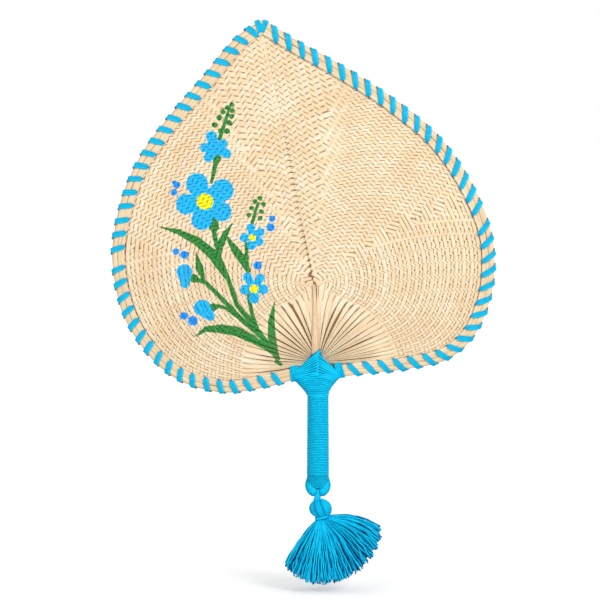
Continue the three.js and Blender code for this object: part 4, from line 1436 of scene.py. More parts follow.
@dataclass
class Rim:
    """The rim of one half: a strip folded over the edge, and two inner strips on each face."""

    rail: Rail
    label: str
    fold_width: float = 4.9
    half_thickness: float = 2.0
    inner_width: float = 2.5
    inner_depths: Pair = (5.7, 7.9)
    inner_thickness: float = 0.75
    start: float = 0.3
    step: float = 2.5
    tip_cut: float = 0.55
    tip_overlap: float = 1.2
    wander: float = 0.14
    wave_lengths: tuple[float, float, float] = (17.0, 7.3, 11.0)
    swell: float = 0.05
    seed: int = 3

    def strand(self, rng: Random, paths: Paths, depth: float, back: float, width: float) -> None:
        """Lay one strip along the rim at a depth, as far as the mitre at the tip.

        Args:
            rng: the source of the strip's small wander.
            paths: the collection that it joins.
            depth: how far inside the outer edge its middle is.
            back: how far behind the blade's middle plane it is.
            width: its width.
        """
        end = self.rail.length + (self.tip_overlap if depth < self.fold_width else 0.0) - depth * self.tip_cut
        distance = np.linspace(self.start, end, int(end / self.step))
        phase = rng.uniform(0, 2 * math.pi, 3)
        waves = [np.sin(distance / length + shift) for length, shift in zip(self.wave_lengths, phase)]
        places = self.rail.path(distance, depth + self.wander * (waves[0] + waves[1]), back)
        _, inward, _ = self.rail.at(distance)
        size = width * (1 + self.swell * waves[2])
        paths.add(places, inward, size / width, rng.uniform(0.1, 0.9), 1.0)

    def build(self, finish: Material) -> list[Piece]:
        """Make the folded strip and the inner strips.

        Args:
            finish: the rim's material.

        Returns:
            The folded strip, the front strips and the back strips.
        """
        rng = np.random.default_rng(self.seed + self.rail.turn)
        fold = Paths()
        self.strand(rng, fold, self.fold_width / 2, 0.0, self.fold_width)
        name = f"rim_edge_{self.label}"
        pieces = [fold.sweep(name, Section.SLAB, self.fold_width, 2 * self.half_thickness, finish)]
        lift = self.half_thickness - self.inner_thickness / 2
        for face, back in (("front", -lift), ("back", lift)):
            inner = Paths()
            for depth in self.inner_depths:
                self.strand(rng, inner, depth, back, self.inner_width)
            name = f"rim_strips_{face}_{self.label}"
            pieces.append(inner.sweep(name, Section.SLAB, self.inner_width, self.inner_thickness, finish))
        return pieces


@dataclass
class EdgeLacing:
    """Ribbon sewn over the rim of one half, in two lengths of whole turns."""

    rail: Rail
    label: str
    width: float = 4.3
    thickness: float = 0.42
    slants: Pair = (5.0, 9.6)
    start: float = 9.0
    end: float = 8.0
    join: float = 5.2
    lower_turns: int = 17
    upper_turns: int = 19
    loop_depth: float = 4.6
    loop_reach: float = 5.3
    loop_half: float = 2.5
    edge_run: float = 0.3
    steps: int = 24
    squareness: float = 0.3
    hole_wander: float = 0.35
    edge_wander: float = 0.4
    pinch: float = 0.76
    pinch_from: float = 0.56
    pinch_blend: float = 0.2
    tip_hole: Pair = (-42.3, 300.6)
    tip_ends: tuple[Pair, ...] = ((-45.9, 309.4), (-38.6, 309.4))
    tip_size: float = 0.94
    seed: int = 21

    def holes(self) -> dict[str, Array]:
        """Space the stitch holes.

        Returns:
            The holes of each length, in millimetres from the neck.
        """
        free = self.rail.length - self.start - self.end - self.join
        pitch = free / (self.lower_turns + self.upper_turns)
        lower = self.start + np.arange(self.lower_turns + 1) * pitch
        upper = lower[-1] + self.join + np.arange(self.upper_turns + 1) * pitch
        return {"lower": lower, "upper": upper}

    def turn_path(self, hole: float, outer: float, after: float) -> tuple[Array, Array]:
        """Give one turn from a hole over the outer edge to the next hole.

        Args:
            hole: where the turn starts.
            outer: where it crosses the outer edge.
            after: the next hole.

        Returns:
            The turn's places and the way that its flat side faces.
        """
        angle = np.linspace(0, 2 * math.pi, self.steps, endpoint=False)
        cosine, sine = np.cos(angle), np.sin(angle) * -self.rail.turn
        depth = self.loop_depth + self.loop_reach * powered(cosine, self.squareness)
        back = self.loop_half * powered(sine, self.squareness)
        share = (depth - self.loop_depth + self.loop_reach) / (2 * self.loop_reach)
        share = (1 - self.edge_run) * share + self.edge_run * np.abs(1 - angle / math.pi)
        distance = outer + (np.where(angle < math.pi, hole, after) - outer) * share
        _, inward, _ = self.rail.at(distance)
        power = (2 - self.squareness) / 4
        facing = unit(inward * powered(cosine, power)[:, None] + BACK * powered(sine, power)[:, None])
        return self.rail.path(distance, depth, back), facing

    def tip_loop(self, end: Array) -> tuple[Array, Array]:
        """Give one stitch from the hole at the tip over the edge and back.

        Args:
            end: where it crosses the outer edge, sideways and up.

        Returns:
            The stitch's places and the way that its flat side faces.
        """
        angle = np.linspace(0, 2 * math.pi, self.steps + 1)
        cosine, sine = np.cos(angle), np.sin(angle)
        hole = np.array(self.tip_hole)
        spot = (hole + end) / 2 + (end - hole) / 2 * powered(cosine, self.squareness)[:, None]
        back = -self.loop_half * powered(sine, self.squareness)
        way = unit(end - hole)
        facing = np.column_stack([way[0] * cosine, -sine, way[1] * cosine])
        return np.column_stack([spot[:, 0], back, spot[:, 1]]), unit(facing)

    def build(self, finish: Material) -> list[Piece]:
        """Make the two lengths of ribbon.

        Args:
            finish: the ribbon's material.

        Returns:
            The lower length and the upper length.
        """
        rng = np.random.default_rng(self.seed + self.rail.turn)
        pieces = []
        for part, holes in self.holes().items():
            crossings = holes[1:] - self.slants[0] if self.rail.turn < 0 else holes[:-1] + self.slants[1]
            holes = holes + rng.uniform(-self.hole_wander, self.hole_wander, len(holes))
            turns = [self.turn_path(hole, outer + rng.uniform(-self.edge_wander, self.edge_wander), after)
                     for hole, outer, after in zip(holes, crossings, holes[1:])]
            whole, facing = (np.vstack(rows) for rows in zip(*turns))
            ribbon = Paths()
            tone = float(rng.uniform())
            step = np.arange(len(whole))
            away = np.abs((step % self.steps) / self.steps - 0.5) * 2
            sunk = smoothstep((away - self.pinch_from) / self.pinch_blend)
            size = (1 - self.pinch * sunk) * (1 + 0.05 * np.sin(step / 9.0 + tone * 6))
            # The lift falls where a turn sinks into its hole, which gives the ribbon its painted shade there.
            ribbon.add(whole, np.cross(tangents(whole), facing), size, tone, 1 - sunk)
            for end in self.tip_ends if part == "upper" and self.rail.turn < 0 else ():
                spots, facing = self.tip_loop(np.array(end))
                ribbon.add(spots, np.cross(tangents(spots), facing), self.tip_size, tone)
            name = f"ribbon_{part}_{self.label}"
            pieces.append(ribbon.sweep(name, Section.SLAB, self.width, self.thickness, finish))
        return pieces


@dataclass
class Lashing:
    """Thread wound round one end of the rim, beside the collar."""

    rail: Rail
    label: str
    start: float = 1.2
    turns: int = 5
    thread: float = 1.22
    closeness: float = 0.94
    lean: float = 2.0
    loop_depth: float = 4.9
    loop_reach: float = 5.5
    loop_half: float = 2.45
    squareness: float = 0.55
    steps: int = 28

    def build(self, finish: Material) -> Piece:
        """Wind the thread as one long path round the rim's section.

        Args:
            finish: the thread's material.

        Returns:
            The winding.
        """
        angle = turned(self.turns * self.steps + 1, self.steps)
        inner = powered(np.cos(angle), self.squareness)
        depth = self.loop_depth + self.loop_reach * inner
        back = self.loop_half * powered(np.sin(angle), self.squareness)
        distance = self.start + angle / (2 * math.pi) * self.thread * self.closeness
        distance = np.maximum(distance - self.lean * (inner + 1) / 2, 0.1)
        _, _, along = self.rail.at(distance)
        winding = Paths()
        winding.add(self.rail.path(distance, depth, back), along, 1.0, 0.4)
        return winding.thread(f"lashing_thread_{self.label}", self.thread, finish)


@dataclass
class Collar:
    """The threads where the blade meets the grip: crossed arms above, and level turns below.

    Each level is a height, the collar's shift to the side there, its half width and its half depth.
    """

    levels: tuple[tuple[float, float, float, float], ...] = (
        (28.4, 0.0, 7.4, 7.4), (31.5, -0.6, 8.6, 7.7), (34.5, -1.2, 10.7, 7.7), (38.2, -1.5, 13.8, 7.0),
        (41.4, -1.6, 16.8, 6.4), (43.7, -1.1, 17.6, 6.3), (47.6, -2.4, 15.9, 6.0), (49.6, -1.6, 12.9, 5.8),
        (52.0, -0.6, 10.0, 5.6), (55.0, -1.4, 7.2, 5.2), (59.4, -1.3, 4.2, 4.7), (63.2, 1.4, 0.6, 4.3))
    roundness: float = 2.4
    arm_middles: Pair = (62.8, 44.0)
    arm_sides: Pair = (47.2, 41.2)
    arm_limits: Pair = (28.4, 63.1)
    arm_bow: float = 0.92
    arms: int = 18
    arm_widths: Pair = (0.94, 1.08)
    arm_lift: float = 0.15
    arm_sink: float = 0.75
    turn_middles: Pair = (46.6, 28.6)
    turn_sides: Pair = (41.6, 28.4)
    turn_bow: float = 1.6
    turns: int = 13
    turn_steps: int = 28
    thread: float = 1.45
    steps: int = 18
    overrun: float = 3.4
    pad_cover: float = 0.3
    pad_sides: int = 32
    seed: int = 31

    def size(self, height: Array) -> tuple[Array, ...]:
        """Give the collar's shift, half width and half depth at heights."""
        table = np.array(self.levels)
        return tuple(np.interp(height, table[:, 0], table[:, i]) for i in (1, 2, 3))

    def on_surface(self, across: Array, height: Array, back: Any) -> Array:
        """Put points on the collar, kept inside its outline.

        Args:
            across: how far to the side each is.
            height: how high each is.
            back: -1 for the front, 1 for the back.

        Returns:
            The points.
        """
        shift, half, deep = self.size(height)
        across = np.clip(across, shift - half, shift + half)
        ratio = np.abs(across - shift) / half
        depth = deep * np.sqrt(np.maximum(1 - ratio ** self.roundness, 0.0))
        return np.column_stack([across, back * depth, height])

    def arm(self, turn: int, row: float, back: float) -> Array:
        """Lay one thread from beyond the crossing in the middle down to the side.

        Args:
            turn: -1 for the left side, 1 for the right.
            row: 0 at the top, 1 at the foot.
            back: -1 for the front, 1 for the back.

        Returns:
            The thread's places.
        """
        middle, side = (ends[0] + (ends[1] - ends[0]) * row for ends in (self.arm_middles, self.arm_sides))
        shift, _, _ = self.size(np.array([middle]))
        edge_shift, edge_half, _ = self.size(np.array([side]))
        share = np.linspace(0.0, 1.0, self.steps)
        start = shift[0] * (1 - row) - turn * self.overrun
        across = start + (edge_shift[0] + turn * edge_half[0] - start) * share
        rise = self.overrun * 0.8 * (1 - row)
        height = np.clip(middle + rise + (side - middle - rise) * share ** self.arm_bow, *self.arm_limits)
        return self.on_surface(across, height, back)

    def build(self, finish: Material) -> Piece:
        """Lay the crossed arms, front and back, side by side in turn, and wind the level turns.

        Args:
            finish: the thread's material.

        Returns:
            The threads.
        """
        rng = np.random.default_rng(self.seed)
        winding = Paths()
        for back in (-1.0, 1.0):
            for i in range(self.arms):
                places = self.arm(SIDES[i % 2][0], (i + 0.5) / self.arms, back)
                facing = unit(places * np.array([0.4, 1.0, 0.0]) + 1e-6)
                sunk = 1 - smoothstep((np.linspace(0, 1, len(places)) - 0.05) / 0.14)
                places = places + facing * (self.arm_lift - self.arm_sink * sunk)[:, None]
                # Where an arm starts under the crossing its lift is low, which gives it the thread's painted
                # shade.
                winding.add(places, np.cross(tangents(places), facing), rng.uniform(*self.arm_widths),
                            rng.uniform(), 1.0 - 1.3 * sunk)
        count = self.turns * self.turn_steps
        part = np.arange(count + 1) / count
        angle = part * self.turns * 2 * math.pi
        side, middle = (ends[0] + (ends[1] - ends[0]) * part for ends in (self.turn_sides, self.turn_middles))
        height = side + (middle - side) * np.abs(np.sin(angle)) ** self.turn_bow
        shift, half, _ = self.size(height)
        turns = self.on_surface(shift + half * np.cos(angle), height, np.sign(np.sin(angle) + TINY))
        winding.add(turns, UP, 1.0, 0.37)
        return winding.thread("collar_threads", self.thread, finish)

    def core(self, finish: Material) -> Piece:
        """Make the padded body that the threads lie on.

        Args:
            finish: its material.

        Returns:
            The body.
        """
        angle = turned(self.pad_sides, self.pad_sides)
        cover, power = self.pad_cover, 2 / self.roundness
        rings = [ellipse(angle, shift, half - cover, deep - cover, height, power)
                 for height, shift, half, deep in self.levels]
        return lofted("collar_pad", rings, finish)


def lofted(name: str, rings: Sequence[Array], finish: Material) -> Piece:
    """Join a stack of level rings into one closed, smooth piece.

    Args:
        name: the piece's name.
        rings: the rings from the foot to the top, each with as many points, counted anticlockwise
            from above.
        finish: its material.

    Returns:
        The piece.
    """
    number = np.arange(len(rings) * len(rings[0])).reshape(len(rings), -1)
    after = np.roll(number, -1, axis=1)
    walls = np.stack([number[:-1], after[:-1], after[1:], number[1:]], axis=-1).reshape(-1, 4)
    mesh = bpy.data.meshes.new(name)
    mesh.from_pydata((np.vstack(rings) * MM).tolist(), [],
                     [*walls.tolist(), number[0, ::-1].tolist(), number[-1].tolist()])
    mesh.polygons.foreach_set("use_smooth", np.ones(len(mesh.polygons), dtype=bool))
    # A lift of -0.8 gives the pad the thread's painted shade, so it shows dark between the threads.
    for label, value in (("tone", 0.5), ("lift", -0.8), ("across", 0.0), ("along", 0.0)):
        layer = mesh.attributes.new(label, "FLOAT", "POINT")
        layer.data.foreach_set("value", np.full(len(mesh.vertices), value, dtype=np.float32))
    mesh.materials.append(finish)
    return new_object(name, mesh)


@dataclass
class Grip:
    """The grip's winding: one thread in close turns from top to bottom."""

    bottom: float = -30.9
    top: float = 31.4
    bottom_radius: float = 8.5
    top_radius: float = 8.1
    thread: float = 1.32
    turns: int = 50
    steps: int = 36
    swell: float = 0.7
    seed: int = 5

    def tree(self) -> Tree:
        """Build the tree that winds a thread as a spiral, with small swells from turn to turn.

        Returns:
            The tree, whose named inputs are the winding's sizes, the seed and the finish.
        """
        nodes = Group("Grip Winding", "GeometryNodeTree", {
            "Start": "Geometry", "Turns": "Float", "Steps": "Int", "Bottom Radius": "Float",
            "Top Radius": "Float", "Bottom": "Float", "Height": "Float", "Thread": "Float", "Swell": "Float",
            "Seed": "Float", "Finish": "Material",
        }, {"Piece": "Geometry"})
        given = nodes.given
        spiral = nodes.add("GeometryNodeCurveSpiral", {
            "Resolution": given["Steps"], "Rotations": given["Turns"], "Start Radius": given["Bottom Radius"],
            "End Radius": given["Top Radius"], "Height": given["Height"]}).outputs[0]
        spot = nodes.add("GeometryNodeInputPosition").outputs[0]
        coarse = nodes.vector("MULTIPLY", spot, (30.0, 30.0, 900.0))
        noise, patch = (nodes.seeded_noise(coarse, scale, given["Seed"], 2.0, "Fac") for scale in (1.0, 0.8))
        swell = nodes.times(nodes.math("SUBTRACT", noise, 0.5), given["Swell"])
        outward = nodes.vector("NORMALIZE", nodes.vector("MULTIPLY", spot, (1.0, 1.0, 0.0)))
        lifted = nodes.vector("ADD", nodes.scaled(outward, swell), nodes.xyz(0.0, 0.0, given["Bottom"]))
        curve = nodes.add("GeometryNodeSetPosition", {"Geometry": spiral, "Offset": lifted}).outputs[0]
        length = nodes.add("GeometryNodeSplineParameter").outputs["Length"]
        for name, value in (("along", length), ("tone", patch), ("lift", 1.0)):
            curve = nodes.store(curve, name, value)
        curve = nodes.add("GeometryNodeSetCurveNormal", {"Curve": curve}, mode="Z_UP").outputs[0]
        thread = given["Thread"]
        profile = nodes.profile(nodes.ring(THREAD_POINTS, thread, thread), thread, 1)
        nodes.finish(nodes.sweep(curve, profile), given["Finish"])
        return nodes.tree

    def build(self, finish: Material) -> Piece:
        """Wind the grip.

        Args:
            finish: the thread's material.

        Returns:
            The winding.
        """
        half = self.thread / 2
        sizes = {"Bottom Radius": self.bottom_radius - half, "Top Radius": self.top_radius - half,
                 "Bottom": self.bottom, "Height": self.top - self.bottom, "Thread": self.thread,
                 "Swell": self.swell}
        inputs = {name: size * MM for name, size in sizes.items()}
        inputs |= {"Turns": float(self.turns), "Steps": self.steps, "Seed": float(self.seed),
                   "Finish": finish}
        return apply_tree(new_object("grip_thread", bpy.data.meshes.new("grip_thread")), self.tree(), inputs)


@dataclass
class EndEye:
    """The thread wound round the small eye below the grip: over its top, and round its two sides.

    Each top level is a height, and the half width and half depth there.
    """

    centre: float = -39.25
    ring_radius: float = 5.8
    wrap: tuple[float, float, float] = (2.3, 3.5, 3.7)
    wrap_shares: tuple[float, float, float] = (0.0, 0.17, 1.0)
    thread: float = 0.84
    foot_angle: float = 12.0
    top_angle: float = 108.0
    turns: int = 19
    steps: int = 22
    top_levels: tuple[tuple[float, float, float], ...] = (
        (-30.2, 7.7, 7.7), (-33.0, 8.0, 7.2), (-36.0, 8.9, 6.2), (-38.6, 9.3, 4.8), (-41.0, 8.6, 3.5))
    top_turns: int = 11
    top_steps: int = 32
    top_bow: float = 0.35
    pad_cover: float = 0.3
    pad_sides: int = 28

    def side(self, turn: int, label: str, finish: Material) -> Piece:
        """Wind one side of the eye, from its foot to its top.

        Args:
            turn: -1 for the left side, 1 for the right.
            label: the side's name.
            finish: the thread's material.

        Returns:
            The winding.
        """
        share = np.linspace(0.0, 1.0, self.turns * self.steps + 1)
        angle = np.radians(self.foot_angle + (self.top_angle - self.foot_angle) * share)
        spin = share * self.turns * 2 * math.pi
        ring = np.column_stack([turn * np.sin(angle), np.zeros(len(angle)), -np.cos(angle)])
        onward = np.column_stack([turn * np.cos(angle), np.zeros(len(angle)), np.sin(angle)])
        middle = ring * self.ring_radius + UP * self.centre
        swell = np.interp(share, self.wrap_shares, self.wrap)
        around = ring * np.cos(spin)[:, None] + BACK * np.sin(spin)[:, None]
        winding = Paths()
        winding.add(middle + around * swell[:, None], onward, 1.0, 0.35)
        return winding.thread(f"eye_thread_{label}", self.thread, finish)

    def top(self, finish: Material) -> Piece:
        """Wind the flattening turns that lead from the grip over the top of the eye.

        Args:
            finish: the thread's material.

        Returns:
            The winding.
        """
        table = np.array(self.top_levels)
        part = np.arange(self.top_turns * self.top_steps + 1) / (self.top_turns * self.top_steps)
        angle = part * self.top_turns * 2 * math.pi
        height = table[0, 0] + (table[-1, 0] - table[0, 0]) * part
        half, deep = (np.interp(-height, -table[:, 0], table[:, i]) for i in (1, 2))
        bow = self.top_bow * np.sin(angle) ** 2 * smoothstep((part - 0.5) * 2)
        winding = Paths()
        winding.add(ellipse(angle, 0.0, half, deep, height + bow), UP, 1.0, 0.6)
        return winding.thread("eye_thread_top", self.thread, finish)

    def core(self, finish: Material) -> Piece:
        """Make the padding under the turns over the eye's top.

        Args:
            finish: its material.

        Returns:
            The padding.
        """
        angle = turned(self.pad_sides, self.pad_sides)
        rings = [ellipse(angle, 0.0, half - self.pad_cover, deep - self.pad_cover, height)
                 for height, half, deep in reversed(self.top_levels)]
        return lofted("eye_pad", rings, finish)


@dataclass
class Tassel:
    """The tassel: its looped cord, threaded head, neck tie and skirt.

    Each of the skirt's lengths is a direction, in degrees from straight down, and a length.
    """

    bar: float = -45.05
    cord_half: float = 3.05
    cord_foot: float = -51.6
    cord_threads: int = 9
    cord_thread: float = 0.85
    cord_top_spread: float = 0.7
    cord_spread: float = 3.2
    cord_shift: float = 0.5
    cord_pinch: float = 0.25
    cord_crown: float = 1.05
    bow_steps: int = 15
    drop_steps: int = 6
    head_shift: float = 1.9
    head_centre: float = -57.05
    head_half_width: float = 8.2
    head_half_height: float = 7.45
    head_threads: int = 60
    head_thread: float = 0.96
    head_twist: float = 0.42
    head_angles: Pair = (9.0, 142.0)
    head_steps: int = 18
    twist_middle: float = 75.0
    seam_angle: float = 14.0
    seam_half: float = 3.5
    sunk_share: float = 0.3
    sunk_depth: float = 0.3
    pad_sides: int = 28
    pad_angles: Pair = (168.0, 12.0)
    pad_levels: int = 13
    pad_scale: Pair = (0.95, 0.93)
    pad_foot: tuple[Pair, ...] = ((-0.6, 4.4), (1.4, 4.5))
    pad_gap: float = 2.2
    neck_shift: float = 3.5
    neck_radius: float = 5.0
    tie_top: float = -62.3
    tie_turns: float = 2.5
    tie_steps: int = 36
    tie_thread: float = 1.35
    tie_slope: float = 0.27
    knot_spot: tuple[float, float, float] = (3.9, -3.9, 0.5)
    knot_half: tuple[float, float, float] = (1.25, 0.5, 1.15)
    knot_angles: Pair = (0.3, 2 * math.pi + 0.9)
    knot_steps: int = 20
    root_height: float = -64.6
    root_radius: float = 3.9
    root_rise: float = 1.5
    strands: int = 470
    strand: float = 1.12
    strand_points: int = 6
    strand_steps: int = 17
    swing: Pair = (-34.5, 77.5)
    depth_swing: float = 22.0
    droop: float = 0.32
    sway: float = 0.7
    lengths: tuple[Pair, ...] = (
        (-36.0, 42.0), (-29.0, 46.0), (-7.0, 49.8), (25.0, 49.0), (48.0, 47.5), (61.0, 46.0), (81.0, 42.0))
    golden: float = 0.6180339887
    waviness: float = 5.0
    waves: float = 110.0
    wave_seed: float = 3.7
    seed: int = 51

    def cord(self, finish: Material) -> Piece:
        """Lay the cord's threads through the eye, over its foot bar and down into the head.

        Args:
            finish: the thread's material.

        Returns:
            The cord.
        """
        rng = np.random.default_rng(self.seed)
        loop = Paths()
        sweep = np.linspace(-math.pi, 0.0, self.bow_steps)
        drop = np.linspace(self.cord_foot, self.bar, self.drop_steps, endpoint=False)
        part = (self.bar - drop) / (self.bar - self.cord_foot)
        depth = self.cord_half * (1 - self.cord_pinch * part ** 2)
        for i in range(self.cord_threads):
            share = (i + 0.5) / self.cord_threads * 2 - 1
            bow = np.column_stack([np.full(self.bow_steps, share * self.cord_top_spread),
                                   self.cord_half * np.cos(sweep),
                                   self.bar - self.cord_half * np.sin(sweep) * self.cord_crown])
            spread = self.cord_top_spread + (self.cord_spread - self.cord_top_spread) * part ** 0.7
            across = share * spread - self.cord_shift * part
            front, back = (np.column_stack([across, way * depth, drop]) for way in (-1, 1))
            places = np.vstack([front, bow, back[::-1]])
            # The outermost threads get a low lift, which gives them the thread's painted shade at the cord's
            # sides.
            loop.add(places, np.array([1.0, 0.0, 0.0]), 1.0, rng.uniform(), 0.2 if abs(share) > 0.8 else 1.0)
        return loop.thread("cord_threads", self.cord_thread, finish)

    def shift(self, polar: Any) -> Any:
        """Give how far the head's middle is to the side, at angles from its top."""
        low = smoothstep((polar - math.pi / 2) / (math.pi / 2))
        return self.head_shift + (self.neck_shift - self.head_shift) * low

    def head(self, finish: Material) -> Piece:
        """Lay the head's threads from its top to the neck.

        Args:
            finish: the thread's material.

        Returns:
            The threads.
        """
        rng = np.random.default_rng(self.seed + 1)
        ball = Paths()
        polar = np.radians(np.linspace(*self.head_angles, self.head_steps))
        reach = self.head_half_width * np.sin(polar)
        size = np.clip(np.sin(polar) * 1.02, 0.3, 1.0)
        for i in range(self.head_threads):
            around = i / self.head_threads * 2 * math.pi
            lean = around + self.head_twist * (polar / math.radians(self.twist_middle) - 1.0)
            ring = np.column_stack([np.sin(lean), -np.cos(lean), np.zeros(len(polar))])
            places = ring * reach[:, None]
            places[:, 0] += self.shift(polar)
            places[:, 2] = self.head_centre + self.head_half_height * np.cos(polar)
            turned_by = math.degrees((around + math.pi) % (2 * math.pi) - math.pi)
            sunk = abs(turned_by - self.seam_angle) < self.seam_half or rng.uniform() < self.sunk_share
            # Sunk threads, the seam's and a random share, sit lower and take the thread's painted shade from
            # their low lift.
            lift = rng.uniform(-0.5, 0.1) if sunk else rng.uniform(0.6, 1.0)
            side = np.cross(tangents(places), ring)
            ball.add(places - ring * (self.sunk_depth if sunk else 0.0), side, size, rng.uniform(), lift)
        return ball.sweep("head_threads", Section.ROUND, self.head_thread, self.head_thread * 1.05, finish,
                          THREAD_POINTS)

    def core(self, finish: Material) -> Piece:
        """Make the padding under the head's threads and in the neck.

        Args:
            finish: its material.

        Returns:
            The padding.
        """
        angle = turned(self.pad_sides, self.pad_sides)
        rings = [ellipse(angle, self.neck_shift, radius, radius, self.root_height + rise)
                 for rise, radius in self.pad_foot]
        for polar in np.radians(np.linspace(*self.pad_angles, self.pad_levels)):
            radius = self.head_half_width * self.pad_scale[0] * math.sin(polar)
            height = self.head_centre + self.head_half_height * self.pad_scale[1] * math.cos(polar)
            if height > self.root_height + self.pad_gap:
                rings.append(ellipse(angle, self.shift(polar), radius, radius, height))
        return lofted("head_pad", rings, finish)

    def tie(self, finish: Material) -> Piece:
        """Wind the neck's tie and lay its small knot.

        Args:
            finish: the thread's material.

        Returns:
            The tie.
        """
        angle = turned(int(self.tie_turns * self.tie_steps) + 1, self.tie_steps)
        radius = self.neck_radius + self.tie_thread * 0.25
        across = radius * np.sin(angle)
        height = self.tie_top - angle / (2 * math.pi) * self.tie_thread * 0.5 + across * self.tie_slope
        winding = Paths()
        places = np.column_stack([self.neck_shift + across, -radius * np.cos(angle), height])
        winding.add(places, UP, 1.0, 0.15)
        spin = np.linspace(*self.knot_angles, self.knot_steps)
        waves = np.column_stack([np.cos(spin), -np.sin(spin * 0.5), np.sin(spin)])
        middle = np.array([self.neck_shift, 0.0, self.tie_top]) + self.knot_spot
        winding.add(middle + waves * self.knot_half, np.array([0.2, 1.0, 0.1]), 1.0, 0.1)
        return winding.thread("tie_thread", self.tie_thread, finish)

    def skirt(self, finish: Material) -> Piece:
        """Lay the skirt's strands, each with its own swing, length and place in the bundle.

        Args:
            finish: the thread's material.

        Returns:
            The skirt.
        """
        rng = np.random.default_rng(self.seed + 2)
        table = np.array(self.lengths)
        bundle = Paths()
        share = np.linspace(0.0, 1.0, self.strand_steps)
        middle, half = (self.swing[0] + self.swing[1]) / 2, (self.swing[1] - self.swing[0]) / 2
        for i in range(self.strands):
            fan = ((i * self.golden) % 1.0) * 2 - 1
            layer = rng.uniform(-1.0, 1.0)
            swing = middle + half * fan
            length = float(np.interp(swing, table[:, 0], table[:, 1])) * rng.uniform(0.93, 1.0)
            deep = math.radians(self.depth_swing) * layer * math.sqrt(max(1 - fan * fan, 0.0) * 0.9 + 0.1)
            angle = np.radians(swing * (1 + self.droop - 2 * self.droop * share))
            heading = np.column_stack([np.sin(angle) * math.cos(deep), math.sin(deep) * (1.25 - 0.5 * share),
                                       -np.cos(angle) * math.cos(deep)])
            steps = heading * (length / (self.strand_steps - 1))
            root = np.array([self.neck_shift + self.root_radius * fan * 0.9,
                             self.root_radius * layer * math.sqrt(1 - 0.8 * fan * fan),
                             self.root_height + self.root_rise * max(fan, 0.0) ** 2])
            places = root + np.vstack([np.zeros(3), np.cumsum(steps[:-1], axis=0)])
            sway = rng.normal(0.0, self.sway) * np.sin(share * math.pi * rng.uniform(0.8, 2.4)) * share
            places += np.column_stack([np.cos(angle), np.zeros(len(share)), np.sin(angle)]) * sway[:, None]
            # Strands inside the bundle get a low lift, which gives them the yarn's painted shade; the outer
            # ones stay light.
            outer = layer < -0.55 or layer > 0.75
            lift = 1.0 if outer else rng.uniform(-1.0, 0.6) - 0.3 * (abs(layer) < 0.4)
            size = np.interp(share, [0.0, 0.12, 0.9, 1.0], [0.75, 1.0, 1.0, 1.12]) * rng.uniform(0.85, 1.1)
            bundle.add(places, np.cross(tangents(places), FRONT) + 1e-4, size, rng.uniform(), lift,
                       0.15 + 0.85 * share)
        return bundle.sweep("skirt_strands", Section.ROUND, self.strand, self.strand, finish,
                            self.strand_points, self.waviness, self.waves, self.wave_seed)


SPRAY_FOOT = (-30.2, 56.8)
PAINTED_REGION = (-124.0, -24.0, 46.0, 254.0)

